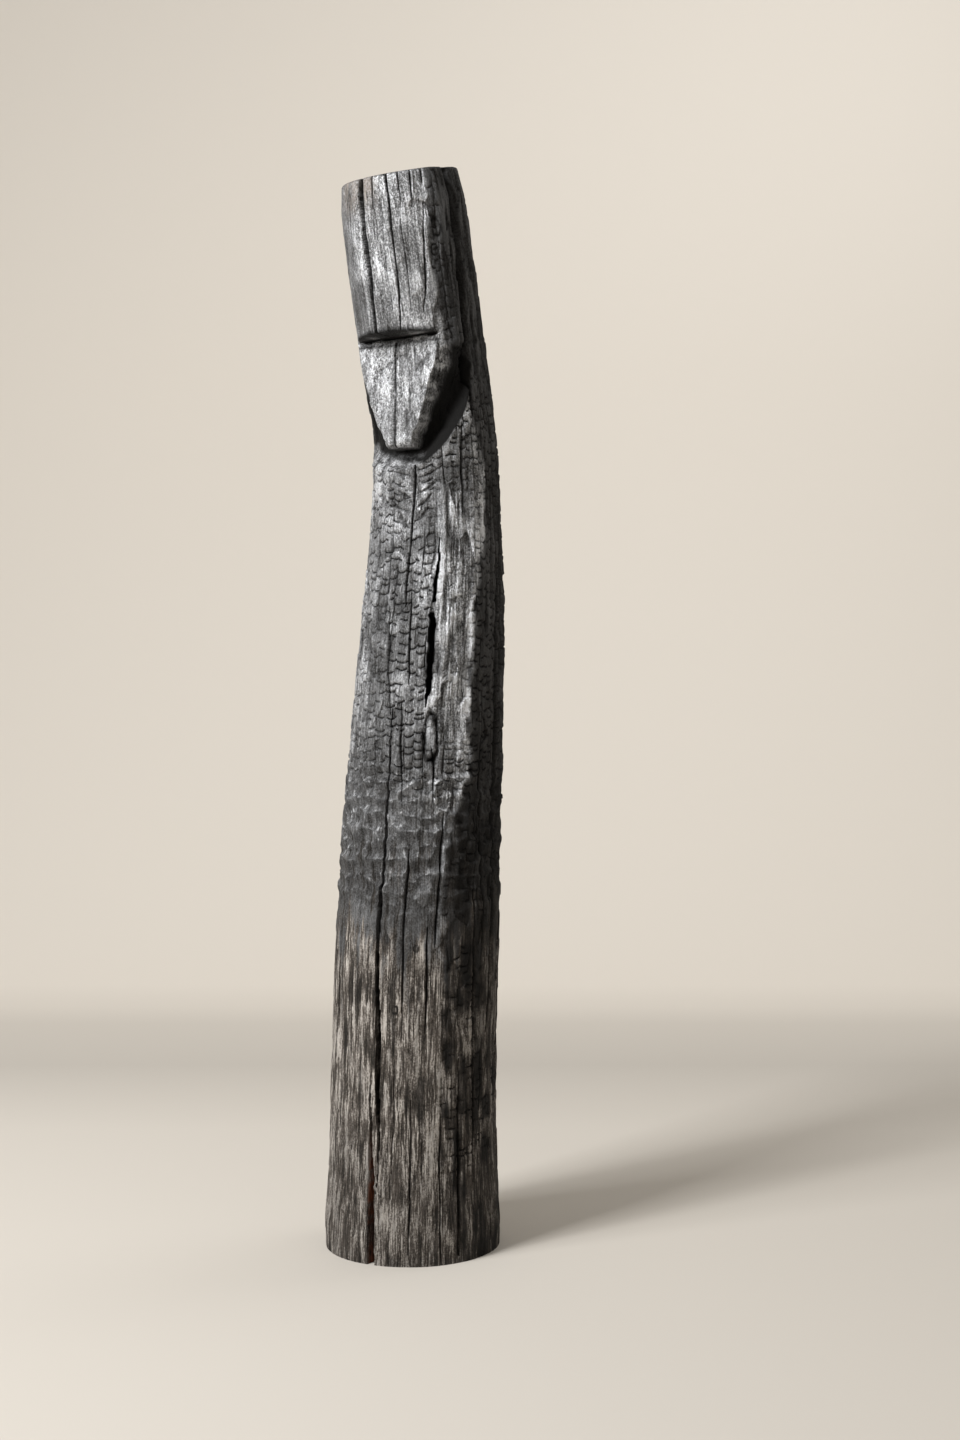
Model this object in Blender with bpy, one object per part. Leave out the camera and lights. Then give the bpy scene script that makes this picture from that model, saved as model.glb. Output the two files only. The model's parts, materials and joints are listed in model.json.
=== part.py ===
"""Figure with a bowed head, carved from one charred log.

Metres, +Z up. The origin is the centre of the flat underside. The face looks along -Y,
and the head bows that way. An azimuth is in degrees round the log, 0 at the face's
middle and growing towards +X. A share of the height runs from 0 at the foot to 1 at
the top cut, along the log's bent axis.
"""

import math

import bmesh
import bpy
from mathutils import Vector

# Log
FIGURE_HEIGHT = 1.718  # foot to the middle of the top cut
FOOT_RADIUS = 0.146
HEAD_RADIUS = 0.106
HEAD_BOW = 15.3  # degrees that the top cut tilts towards the face
TOP_CUT_TWIST = 1.7  # degrees that the top cut drops to the figure's right
LOG_SIDES = 64
LOG_RINGS = 40
RIM_WEAR = 0.004  # how far the worn rims of both cut ends are rounded off

# Sections of the log: share of the height, then shares of the height for the axis's
# place along X and Y, then how far the radius has gone from the foot's to the head's
LOG_SECTIONS = (
    (0.00, 0.0000, 0.0000, 0.00),
    (0.07, 0.0000, 0.0008, 0.19),
    (0.18, 0.0005, 0.0028, 0.30),
    (0.30, 0.0030, 0.0050, 0.34),
    (0.42, 0.0065, 0.0092, 0.46),
    (0.52, 0.0095, 0.0135, 0.60),
    (0.60, 0.0112, 0.0195, 0.72),
    (0.66, 0.0117, 0.0235, 0.88),
    (0.715, 0.0117, 0.0240, 1.00),
    (0.77, 0.0117, 0.0160, 1.02),
    (0.83, 0.0122, 0.0024, 1.08),
    (0.89, 0.0125, -0.0130, 1.09),
    (0.95, 0.0127, -0.0284, 1.14),
    (1.00, 0.0127, -0.0408, 1.24),
)
BOW_FROM, BOW_TO = 0.66, 0.90  # shares of the height over which the sections tilt

# Hewn flats down the log: azimuth, share of the radius, and the shares of the height
# over which the flat fades in and out again
HEWN_FLATS = (
    (96.0, 0.885, 0.30, 0.42, 0.97, 1.10),
    (59.0, 0.955, 0.40, 0.48, 0.70, 0.76),
    (-118.0, 0.930, 0.05, 0.20, 0.80, 1.00),
    (168.0, 0.940, 0.20, 0.35, 0.80, 1.05),
    (-61.0, 0.955, 0.68, 0.72, 0.76, 0.82),
)
# Slow swellings of the log: share of the radius, turns round it, turns up it, phase
SWELLINGS = (
    (0.0060, 2, 1.3, 0.4),
    (0.0045, 3, -2.1, 1.9),
    (0.0030, 5, 3.4, 4.1),
)
SCAR_AZIMUTH, SCAR_SHARE = 44.0, 0.590  # the swollen lip beside the crevice
SCAR_SPREAD, SCAR_LENGTH = 15.0, 0.085
SCAR_RISE = 0.0045

# Face, a flat plane sawn and hewn into the front of the head
FACE_X = 0.020
FACE_Y = -0.0725
BROW_Z = FIGURE_HEIGHT * 0.851
FACE_WIDTH = 0.166  # at the brow
FACE_LENGTH = 0.179  # brow to the chin's lower edge
MASK_AHEAD, MASK_BEHIND = 0.010, 0.150  # how far the mask's sides run from the face's plane
MASK_FLARE = 0.40  # how much the sides open backwards at the brow
FLARE_END = 0.60  # share of the face's length at which they run straight back
# Half the face's outline: shares of its length down from the brow, and of its half width
FACE_OUTLINE = (
    (-0.16, 1.12),
    (0.02, 1.00),
    (0.22, 0.86),
    (0.34, 0.80),
    (0.42, 0.70),
    (0.56, 0.645),
    (0.69, 0.54),
    (0.78, 0.475),
    (0.86, 0.345),
    (0.985, 0.295),
)
CHIN_BEVEL = 0.009  # height of the bevel along the chin's lower edge
CHIN_SLOPE = 50.0  # degrees

# Kerf under the brow: how far it goes in behind the face, its mouth and its half length
KERF_DEPTH = 0.016
KERF_MOUTH = 0.011
KERF_REACH = 0.081

# Hollow scooped round the neck, behind and below the mask
SCOOP_DEPTH = 0.053
SCOOP_AZIMUTH = 12.0  # where it is deepest
SCOOP_SPREAD = 95.0  # azimuth from there to where it runs out
# Shares of the height of the collar's lip at the front, below the chin, and of the hollow's
# upper end, behind the brow
COLLAR_DROP, SCOOP_REACH = 0.0296, 0.0035
SCOOP_FOOT = (BROW_Z - FACE_LENGTH - COLLAR_DROP) / FIGURE_HEIGHT
SCOOP_HEAD = (BROW_Z + SCOOP_REACH) / FIGURE_HEIGHT
# How far the lip has risen at the figure's right and left, as a share of the height
COLLAR_RISE_RIGHT, COLLAR_RISE_LEFT = 0.014, 0.104
COLLAR_STEEPNESS = 0.26  # share of the scoop's height that its floor takes to drop
COLLAR_EDGE = 0.30  # how crisp the lip is under the chin, from where it softens sideways
SCOOP_CLEAR = 0.004
CORE_RINGS, CORE_BELOW = 30, 0.1  # rings of the neck's core, and the share below the lip

# Splits: azimuth, share of the height and width at the surface
FRONT_SPLIT = (
    (9.2, 0.064, 0.0010),
    (10.6, 0.086, 0.0020),
    (10.9, 0.112, 0.0042),
    (9.9, 0.137, 0.0070),
    (8.8, 0.162, 0.0085),
    (8.4, 0.205, 0.0095),
    (6.4, 0.246, 0.0075),
    (5.2, 0.290, 0.0062),
    (5.4, 0.325, 0.0076),
    (6.6, 0.370, 0.0052),
    (6.3, 0.418, 0.0042),
    (6.9, 0.458, 0.0022),
    (5.6, 0.505, 0.0010),
)
FRONT_SPLIT_DEPTH = 0.052
FOOT_SPLIT = (
    (7.2, -0.020, 0.0145),
    (7.0, 0.015, 0.0138),
    (6.2, 0.058, 0.0120),
    (5.4, 0.094, 0.0095),
    (5.1, 0.113, 0.0065),
    (4.4, 0.135, 0.0038),
    (3.3, 0.162, 0.0010),
)
FOOT_SPLIT_DEPTH = 0.040
CREVICE = (
    (36.0, 0.664, 0.0012),
    (35.6, 0.643, 0.0034),
    (34.2, 0.624, 0.0064),
    (33.6, 0.606, 0.0078),
    (32.9, 0.592, 0.0112),
    (33.4, 0.574, 0.0145),
    (34.0, 0.556, 0.0155),
    (33.2, 0.540, 0.0125),
    (32.5, 0.524, 0.0082),
    (31.9, 0.507, 0.0012),
)
CREVICE_DEPTH = 0.042
HEAD_SPLIT = (
    (-8.9, 1.030, 0.0062),
    (-8.7, 0.990, 0.0054),
    (-8.1, 0.955, 0.0046),
    (-7.2, 0.930, 0.0038),
    (-7.4, 0.907, 0.0044),
    (-8.6, 0.886, 0.0030),
    (-8.8, 0.874, 0.0010),
)
HEAD_SPLIT_DEPTH = 0.040
SIDE_SPLIT = (
    (99.8, 1.030, 0.0125),
    (98.6, 0.990, 0.0105),
    (95.8, 0.970, 0.0082),
    (93.7, 0.932, 0.0070),
    (90.8, 0.902, 0.0058),
    (85.0, 0.865, 0.0046),
    (79.8, 0.832, 0.0030),
    (78.4, 0.806, 0.0010),
)
SIDE_SPLIT_DEPTH = 0.055
SPLIT_FLOOR = 0.35  # width of a split's floor, as a share of its mouth
SPLIT_MARGIN = 0.012  # how far a split's cutter stands out of the wood
SLIVER_SIDES = 4  # edges of the largest gap that is closed once all is cut

CHAR_COLOUR = (0.045, 0.045, 0.047, 1.0)
CHAR_ROUGHNESS = 0.48
CHAR_METALLIC = 0.15


def faded(low, high, value):
    """0 at low, 1 at high and smooth between them."""
    share = min(1.0, max(0.0, (value - low) / (high - low)))
    return share * share * (3 - 2 * share)


def along(stations, share):
    """The columns of stations at a share of the height, on a smooth curve."""
    last = len(stations) - 2
    after = next((i for i, s in enumerate(stations) if s[0] > share), last + 1)
    start = min(max(after - 1, 0), last)
    low, high = stations[start], stations[start + 1]
    before = stations[max(start - 1, 0)]
    beyond = stations[min(start + 2, last + 1)]
    step = high[0] - low[0]
    u = (share - low[0]) / step
    found = []
    for column in range(1, len(low)):
        slope_low = (high[column] - before[column]) / (high[0] - before[0]) * step
        slope_high = (beyond[column] - low[column]) / (beyond[0] - low[0]) * step
        found.append(
            (2 * u**3 - 3 * u**2 + 1) * low[column]
            + (u**3 - 2 * u**2 + u) * slope_low
            + (3 * u**2 - 2 * u**3) * high[column]
            + (u**3 - u**2) * slope_high
        )
    return found


def log_radius(azimuth, share):
    """Distance of the log's surface from its axis, with the flats hewn into it."""
    taper = along(LOG_SECTIONS, share)[2]
    radius = FOOT_RADIUS + (HEAD_RADIUS - FOOT_RADIUS) * taper
    turn = math.radians(azimuth)
    for size, round_turns, up_turns, phase in SWELLINGS:
        radius *= 1 + size * math.sin(round_turns * turn + 2 * math.pi * up_turns * share + phase)
    for flat_azimuth, reach, start, full, fade, end in HEWN_FLATS:
        strength = faded(start, full, share) * (1 - faded(fade, end, share))
        facing = math.cos(math.radians(azimuth - flat_azimuth))
        if facing > 0.3 and strength > 0:
            flat = radius * (1 - (1 - reach) * strength) / facing
            radius = min(radius, flat)
    across = (azimuth - SCAR_AZIMUTH) / SCAR_SPREAD
    up = (share - SCAR_SHARE) / SCAR_LENGTH
    return radius + SCAR_RISE * math.exp(-across * across - up * up)


def place(azimuth, share, radius):
    """The point that far from the bent axis, in the section at that share of the height."""
    x, y, _ = along(LOG_SECTIONS, share)
    tilt = math.radians(HEAD_BOW) * faded(BOW_FROM, BOW_TO, share)
    twist = math.radians(TOP_CUT_TWIST) * faded(BOW_FROM, 1.0, share)
    turn = math.radians(azimuth)
    across, forward = math.sin(turn) * radius, math.cos(turn) * radius
    rise = across * math.sin(twist) - forward * math.sin(tilt)
    return Vector((
        x * FIGURE_HEIGHT + across * math.cos(twist),
        y * FIGURE_HEIGHT - forward * math.cos(tilt),
        share * FIGURE_HEIGHT + rise,
    ))


def new_object(name, bm, collection):
    """An object of that name, made of a bmesh, in a collection."""
    bmesh.ops.recalc_face_normals(bm, faces=bm.faces)
    mesh = bpy.data.meshes.new(name)
    bm.to_mesh(mesh)
    bm.free()
    made = bpy.data.objects.new(name, mesh)
    collection.objects.link(made)
    return made


def shaped_log(name, collection, rings, share_at, radius_at):
    """A cylinder cut into that many bands, then bent and shaped along the log's axis."""
    bm = bmesh.new()
    bmesh.ops.create_cone(
        bm, cap_ends=True, segments=LOG_SIDES, radius1=1, radius2=1, depth=1
    )
    upright = [e for e in bm.edges if abs(e.verts[0].co.z - e.verts[1].co.z) > 0.5]
    bmesh.ops.subdivide_edges(bm, edges=upright, cuts=rings - 1, use_grid_fill=True)
    for vertex in bm.verts:
        azimuth = math.degrees(math.atan2(vertex.co.x, -vertex.co.y))
        share = share_at(azimuth, vertex.co.z + 0.5)
        vertex.co = place(azimuth, share, radius_at(azimuth, share))
    return new_object(name, bm, collection)


def hull(name, collection, points):
    """The convex solid round a few points."""
    bm = bmesh.new()
    for point in points:
        bm.verts.new(point)
    made = bmesh.ops.convex_hull(bm, input=bm.verts)
    inside = set(made["geom_interior"]) | set(made["geom_unused"])
    bmesh.ops.delete(bm, geom=[g for g in inside if g.is_valid], context="VERTS")
    return new_object(name, bm, collection)


def block(name, collection, low, high):
    """A box between two corners."""
    bm = bmesh.new()
    bmesh.ops.create_cube(bm, size=1)
    low, high = Vector(low), Vector(high)
    for vertex in bm.verts:
        vertex.co = (low + high) / 2 + Vector(a * b for a, b in zip(vertex.co, high - low))
    return new_object(name, bm, collection)


def split(name, collection, path, depth):
    """A blade along a split: a loft of four-sided sections, narrower inside than out."""
    bm = bmesh.new()
    sections = []
    for azimuth, share, width in path:
        surface = log_radius(azimuth, share)
        half = math.degrees(width / 2 / surface)
        corners = (
            (azimuth - half, surface + SPLIT_MARGIN),
            (azimuth + half, surface + SPLIT_MARGIN),
            (azimuth + half * SPLIT_FLOOR, surface - depth),
            (azimuth - half * SPLIT_FLOOR, surface - depth),
        )
        sections.append([bm.verts.new(place(a, share, r)) for a, r in corners])
    for lower, upper in zip(sections, sections[1:]):
        for i in range(4):
            bm.faces.new((lower[i - 1], lower[i], upper[i], upper[i - 1]))
    bm.faces.new(sections[0])
    bm.faces.new(sections[-1])
    return new_object(name, bm, collection)


def boolean(target, cutter, operation="DIFFERENCE"):
    """Adds an exact Boolean with a cutter, which is a guide and not a part."""
    modifier = target.modifiers.new(f"{operation.title()} {cutter.name}", "BOOLEAN")
    modifier.operation = operation
    modifier.object = cutter
    modifier.solver = "EXACT"
    cutter.hide_render = True
    cutter.display_type = "WIRE"


def finish_cuts(thing):
    """Carries out a thing's cuts, and closes any sliver that they leave open."""
    bm = bmesh.new()
    bm.from_object(thing, bpy.context.evaluated_depsgraph_get())
    rims = [edge for edge in bm.edges if edge.is_boundary]
    bmesh.ops.holes_fill(bm, edges=rims, sides=SLIVER_SIDES)
    thing.modifiers.clear()
    bm.to_mesh(thing.data)
    bm.free()


def face_blank(collection):
    """What is sawn away in front of the face, from the brow down."""
    below = BROW_Z - FACE_LENGTH * 1.06
    return block(
        "face_blank",
        collection,
        (FACE_X - FACE_WIDTH, FACE_Y - HEAD_RADIUS, below),
        (FACE_X + FACE_WIDTH, FACE_Y, BROW_Z),
    )


def kerf(collection):
    """The saw cut under the brow, which runs out at the face's two corners."""
    ahead = FACE_Y - KERF_MOUTH
    return hull(
        "kerf",
        collection,
        [
            (FACE_X + side * reach, y, z)
            for side in (-1, 1)
            for reach, y, z in (
                (KERF_REACH * 0.55, FACE_Y + KERF_DEPTH, BROW_Z - 0.001),
                (KERF_REACH, FACE_Y + 0.001, BROW_Z - 0.001),
                (KERF_REACH, ahead, BROW_Z - 0.001),
                (KERF_REACH * 0.55, FACE_Y + KERF_DEPTH, BROW_Z - 0.003),
                (KERF_REACH * 0.92, ahead, BROW_Z - KERF_MOUTH * 1.5),
            )
        ],
    )


def mask(collection):
    """The mask that is left standing: the face's outline run back into the neck."""
    bm = bmesh.new()
    ends = []
    for behind in (-MASK_AHEAD, MASK_BEHIND):
        half = []
        for down, across in FACE_OUTLINE:
            flare = MASK_FLARE * (1 - faded(0, FLARE_END, down))
            half.append((FACE_WIDTH / 2 * across + flare * behind, BROW_Z - FACE_LENGTH * down))
        outline = half + [(-across, z) for across, z in reversed(half)]
        ends.append([bm.verts.new((FACE_X + across, FACE_Y + behind, z)) for across, z in outline])
    front, back = ends
    for i in range(len(front)):
        bm.faces.new((front[i - 1], front[i], back[i], back[i - 1]))
    bm.faces.new(front)
    bm.faces.new(back)
    made = new_object("mask", bm, collection)
    chin_z = BROW_Z - FACE_LENGTH
    slope = math.tan(math.radians(CHIN_SLOPE))
    wide = FACE_WIDTH
    bevel = hull(
        "chin_bevel",
        collection,
        [
            (FACE_X + side * wide, FACE_Y + y, chin_z + z)
            for side in (-1, 1)
            for y, z in (
                (CHIN_BEVEL / slope, 0.0),
                (-CHIN_BEVEL, CHIN_BEVEL * (1 + slope)),
                (-CHIN_BEVEL, -CHIN_BEVEL),
                (CHIN_BEVEL / slope, -CHIN_BEVEL),
            )
        ],
    )
    boolean(made, bevel)
    return made


def collar_lip(azimuth):
    """The share of the height at which the hollow round the neck starts."""
    rise = COLLAR_RISE_LEFT if azimuth > 0 else COLLAR_RISE_RIGHT
    return SCOOP_FOOT + rise * min(1.0, abs(azimuth) / 90) ** 2


def scoop_depth(azimuth, share):
    """How deep the hollow round the neck is below the log's surface."""
    off = abs(azimuth - SCOOP_AZIMUTH) / SCOOP_SPREAD
    lip = collar_lip(azimuth)
    up = (share - lip) / (SCOOP_HEAD - lip)
    if off >= 1 or not 0.001 < up < 1:
        return 0.0
    edge = COLLAR_EDGE * max(0.0, 1 - 1.5 * off)
    floor = faded(-edge * COLLAR_STEEPNESS, COLLAR_STEEPNESS, up) * (1 - up) ** 0.85
    return SCOOP_DEPTH * floor * math.cos(math.pi / 2 * off)


def neck_waste(collection):
    """What is scooped away round the neck: a sleeve less the neck and less the mask."""
    low, high = SCOOP_FOOT - 0.015, SCOOP_HEAD + 0.002
    reach = 0.01

    def core_share(azimuth, step):
        lip = collar_lip(azimuth)
        if step < CORE_BELOW:
            return low - reach + (lip - low + reach) * step / CORE_BELOW
        return lip + (high + reach - lip) * (step - CORE_BELOW) / (1 - CORE_BELOW)

    core = shaped_log(
        "neck_core",
        collection,
        CORE_RINGS,
        core_share,
        lambda azimuth, share: log_radius(azimuth, share)
        + SCOOP_CLEAR
        - scoop_depth(azimuth, share),
    )
    sleeve = shaped_log(
        "neck_waste",
        collection,
        9,
        lambda azimuth, step: low + (high - low) * step,
        lambda azimuth, share: log_radius(azimuth, share) + 0.03,
    )
    boolean(sleeve, core)
    boolean(sleeve, mask(collection))
    return sleeve


def charred_wood():
    """Wood burnt black: dark, with a dull graphite shine."""
    material = bpy.data.materials.new("charred_wood")
    material.use_nodes = True
    shader = material.node_tree.nodes["Principled BSDF"]
    shader.inputs["Base Color"].default_value = CHAR_COLOUR
    shader.inputs["Roughness"].default_value = CHAR_ROUGHNESS
    shader.inputs["Metallic"].default_value = CHAR_METALLIC
    return material


def worn_radius(azimuth, share):
    """The log's radius, drawn in at the worn rims of its two cut ends."""
    from_end = min(share, 1 - share) * FIGURE_HEIGHT
    worn = max(0.0, 1 - from_end / RIM_WEAR)
    return log_radius(azimuth, share) - RIM_WEAR * worn**2


def main():
    """Builds the figure and the cutters that carve it."""
    for old in list(bpy.data.objects):
        bpy.data.objects.remove(old)
    parts = bpy.data.collections.new("wooden_figure")
    cutters = bpy.data.collections.new("cutters")
    for collection in (parts, cutters):
        bpy.context.scene.collection.children.link(collection)
    figure = shaped_log("wooden_figure", parts, LOG_RINGS, lambda _, step: step, worn_radius)
    boolean(figure, neck_waste(cutters))
    boolean(figure, face_blank(cutters))
    boolean(figure, kerf(cutters))
    for name, path, depth in (
        ("front_split", FRONT_SPLIT, FRONT_SPLIT_DEPTH),
        ("foot_split", FOOT_SPLIT, FOOT_SPLIT_DEPTH),
        ("crevice", CREVICE, CREVICE_DEPTH),
        ("head_split", HEAD_SPLIT, HEAD_SPLIT_DEPTH),
        ("side_split", SIDE_SPLIT, SIDE_SPLIT_DEPTH),
    ):
        boolean(figure, split(name, cutters, path, depth))
    finish_cuts(figure)
    figure.data.materials.append(charred_wood())
    figure.data.shade_smooth()
    figure.data.set_sharp_from_angle(angle=math.radians(30))


main()
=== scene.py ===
"""Looks of a standing figure carved from one charred log.

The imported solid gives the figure's form. This script lays a dense skin over it, cut with the
relief that fire, gouge and drying leave in wood, and dresses it. All sizes are in metres and
the frame is the solid's: +Z up, the face looking along -Y. An azimuth is in degrees round the
log, 0 at the face's middle and growing towards +X. A share runs from 0 at the foot to 1 at the
top cut.
"""

from __future__ import annotations

import json
import logging
import math
from collections.abc import Iterator
from dataclasses import dataclass, field
from enum import Enum

import bmesh
import bpy
import numpy as np
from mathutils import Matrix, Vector
from mathutils.bvhtree import BVHTree

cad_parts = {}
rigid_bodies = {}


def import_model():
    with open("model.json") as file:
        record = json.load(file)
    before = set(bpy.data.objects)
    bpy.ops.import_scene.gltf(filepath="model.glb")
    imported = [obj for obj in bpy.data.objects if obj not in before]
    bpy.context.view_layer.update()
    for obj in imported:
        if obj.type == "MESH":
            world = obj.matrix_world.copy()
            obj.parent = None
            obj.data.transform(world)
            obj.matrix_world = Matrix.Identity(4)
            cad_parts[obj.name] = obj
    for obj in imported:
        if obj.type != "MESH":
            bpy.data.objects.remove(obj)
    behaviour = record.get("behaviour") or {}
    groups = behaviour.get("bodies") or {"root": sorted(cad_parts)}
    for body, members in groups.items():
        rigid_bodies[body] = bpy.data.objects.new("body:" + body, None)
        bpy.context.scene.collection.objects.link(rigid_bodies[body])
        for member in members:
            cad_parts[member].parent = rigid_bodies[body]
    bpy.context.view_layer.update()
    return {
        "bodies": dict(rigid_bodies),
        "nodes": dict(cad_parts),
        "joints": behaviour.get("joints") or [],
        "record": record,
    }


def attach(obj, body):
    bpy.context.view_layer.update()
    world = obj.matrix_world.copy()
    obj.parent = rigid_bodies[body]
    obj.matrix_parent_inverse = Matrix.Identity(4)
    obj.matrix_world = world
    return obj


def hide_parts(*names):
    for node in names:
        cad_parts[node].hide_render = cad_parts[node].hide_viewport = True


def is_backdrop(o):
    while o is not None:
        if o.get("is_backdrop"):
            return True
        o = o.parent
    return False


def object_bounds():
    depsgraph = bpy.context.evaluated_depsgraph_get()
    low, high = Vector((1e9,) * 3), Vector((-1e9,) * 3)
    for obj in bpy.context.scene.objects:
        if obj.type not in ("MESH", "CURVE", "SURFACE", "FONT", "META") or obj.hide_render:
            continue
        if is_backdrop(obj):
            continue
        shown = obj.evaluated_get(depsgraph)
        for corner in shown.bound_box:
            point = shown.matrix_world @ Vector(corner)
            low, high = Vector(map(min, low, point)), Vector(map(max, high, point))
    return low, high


LOG = logging.getLogger("charred_figure")
MM = 0.001
Array = np.ndarray
Socket = bpy.types.NodeSocket


def linear(hex_colour: str) -> tuple[float, float, float, float]:
    """Turn an sRGB hex colour into the linear one that Blender works in.

    Args:
        hex_colour: Six hex digits, with or without a leading hash.

    Returns:
        Linear red, green, blue and a full alpha.
    """
    digits = hex_colour.lstrip("#")
    parts = [int(digits[i : i + 2], 16) / 255 for i in (0, 2, 4)]
    made = [p / 12.92 if p <= 0.04045 else ((p + 0.055) / 1.055) ** 2.4 for p in parts]
    return (made[0], made[1], made[2], 1.0)


def eased(low: float, high: float, value: Array | float) -> Array:
    """Go smoothly from 0 at low to 1 at high; low may be the larger one.

    Args:
        low: Value that gives 0.
        high: Value that gives 1.
        value: What is measured.

    Returns:
        The eased share, as large as value.
    """
    share = np.clip((value - low) / (high - low), 0, 1)
    return share * share * (3 - 2 * share)


def bell(away: Array, half: Array | float) -> Array:
    """Give 1 at no distance, falling off on both sides past a half width."""
    return np.exp(-((away / half) ** 2))


def signed(degrees: Array) -> Array:
    """Bring degrees round the log to within half a turn of 0."""
    return (degrees + 180) % 360 - 180


def most(*values: Array) -> Array:
    """Give the largest of some values at each point."""
    return np.maximum.reduce(values)


def put(name: str, data: bpy.types.ID) -> bpy.types.Object:
    """Make an object of a mesh, light or camera, and add it to the scene."""
    made = bpy.data.objects.new(name, data)
    bpy.context.scene.collection.objects.link(made)
    return made


@dataclass(frozen=True)
class LogAxis:
    """The log's bent centre line, as the solid has it.

    Attributes:
        height: Foot to the middle of the top cut.
        stations: Share of the height, then shares of it for the line's X and Y.
        bow: Degrees that the top cut tilts towards the face.
        bow_span: Shares of the height over which the sections tilt.
        twist: Degrees that the top cut drops to the figure's right.
    """

    height: float = 1.718
    stations: tuple[tuple[float, float, float], ...] = (
        (0.00, 0.0000, 0.0000),
        (0.18, 0.0005, 0.0028),
        (0.30, 0.0030, 0.0050),
        (0.42, 0.0065, 0.0092),
        (0.52, 0.0095, 0.0135),
        (0.60, 0.0112, 0.0195),
        (0.66, 0.0117, 0.0235),
        (0.715, 0.0117, 0.0240),
        (0.77, 0.0117, 0.0160),
        (0.83, 0.0122, 0.0024),
        (0.89, 0.0125, -0.0130),
        (0.95, 0.0127, -0.0284),
        (1.00, 0.0127, -0.0408),
    )
    bow: float = 15.3
    bow_span: tuple[float, float] = (0.66, 0.90)
    twist: float = 1.7

    def centres(self, shares: Array) -> Array:
        """Give the centre line's points at those shares of the height."""
        knots = np.array(self.stations)
        x, y = (np.interp(shares, knots[:, 0], knots[:, i]) for i in (1, 2))
        return np.stack([x, y, shares], axis=1) * self.height

    def directions(self, shares: Array, azimuths: Array) -> Array:
        """Give the unit vectors out of the log, in its tilted sections.

        Args:
            shares: One share of the height for each row.
            azimuths: One azimuth for each column or point, in degrees.

        Returns:
            Vectors in rows, columns and X, Y, Z.
        """
        tilt = np.radians(self.bow) * eased(*self.bow_span, shares)
        twist = np.radians(self.twist) * eased(self.bow_span[0], 1.0, shares)
        turn = np.radians(np.atleast_2d(azimuths))
        across, forward = np.sin(turn), np.cos(turn)
        tilt, twist = tilt[:, None], twist[:, None]
        out = np.stack(
            [
                across * np.cos(twist),
                -forward * np.cos(tilt),
                across * np.sin(twist) - forward * np.sin(tilt),
            ],
            axis=2,
        )
        return out / np.linalg.norm(out, axis=2, keepdims=True)


class Strew:
    """Seeded noise and measures on a grid wrapped round the log."""

    def __init__(self, shares: Array, azimuths: Array, height: float, girth: float) -> None:
        """Lay the grid out.

        Args:
            shares: One share of the height for each row.
            azimuths: One azimuth for each column, in degrees.
            height: The log's length.
            girth: A middling distance round the log, which patterns are measured on.
        """
        self.girth = girth
        self.azimuth = np.broadcast_to(azimuths[None, :], (len(shares), len(azimuths)))
        self.share = np.broadcast_to(shares[:, None], self.azimuth.shape)
        self.turn = (self.azimuth + 180) / 360
        self.height = self.share * height

    def cells(self, wide: float) -> int:
        """Count the whole cells of about that width that go round the log."""
        return max(3, round(self.girth / wide))

    def noise(self, wide: float, tall: float, seed: int, shift: Array | float = 0.0) -> Array:
        """Make smooth noise from -1 to 1, with no seam round the log.

        Args:
            wide: Width of a lump, round the log.
            tall: Height of a lump, along the log.
            seed: Which noise.
            shift: Distance by which the pattern is pushed round the log.

        Returns:
            One value for each point of the grid.
        """
        count = self.cells(wide)
        u = (self.turn + shift / self.girth) * count
        v = self.height / tall + 64
        rows = int(np.max(v)) + 3
        lattice = np.random.default_rng(seed).uniform(-1, 1, (rows, count))
        column, row = np.floor(u).astype(np.int64), np.floor(v).astype(np.int64)
        across, up = u - column, v - row
        across = across * across * (3 - 2 * across)
        up = up * up * (3 - 2 * up)
        left, right = column % count, (column + 1) % count
        row = np.clip(row, 0, rows - 2)
        low = lattice[row, left] * (1 - across) + lattice[row, right] * across
        high = lattice[row + 1, left] * (1 - across) + lattice[row + 1, right] * across
        return low * (1 - up) + high * up

    def layered(self, wide: float, tall: float, seed: int, layers: int = 3) -> Array:
        """Add finer and finer noise, each layer half the size and strength of the last."""
        total = np.zeros(self.azimuth.shape)
        for layer in range(layers):
            scale = 0.5**layer
            total += self.noise(wide * scale, tall * scale, seed + 101 * layer) * scale
        return total / (2 - 0.5 ** (layers - 1))

    def scattered(
        self,
        u: Array,
        v: Array,
        size: tuple[float, float],
        seeds: Array,
        inset: tuple[float, float] = (0.0, 0.0),
    ) -> Iterator[tuple[Array, Array, Array]]:
        """Go through the nine scattered cells that lie nearest to each point.

        Args:
            u: How many cells round the log each point is.
            v: How many cells up the log it is.
            size: Width and height of a cell.
            seeds: Draws for each cell in rows and columns; the first two place its middle.
            inset: Share of a cell's width and height that its middle keeps from the edges.

        Returns:
            For each cell the distances from its middle, across and along, and its other draws.
        """
        rows, count = seeds.shape[:2]
        column, row = np.floor(u).astype(np.int64), np.floor(v).astype(np.int64)
        for up in (-1, 0, 1):
            for side in (-1, 0, 1):
                cell = seeds[np.clip(row + up, 0, rows - 1), (column + side) % count]
                placed = [edge + (1 - 2 * edge) * cell[..., i] for i, edge in enumerate(inset)]
                across = (u - column - side - placed[0]) * size[0]
                along = (v - row - up - placed[1]) * size[1]
                yield across, along, cell[..., 2:]

    def from_azimuth(self, azimuth: Array | float) -> Array:
        """Give the signed degrees round the log from an azimuth."""
        return signed(self.azimuth - azimuth)

    def near(self, azimuth: float, spread: float) -> Array:
        """Give 1 at an azimuth, easing to 0 at that many degrees from it."""
        return eased(spread, spread * 0.45, np.abs(self.from_azimuth(azimuth)))


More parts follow.
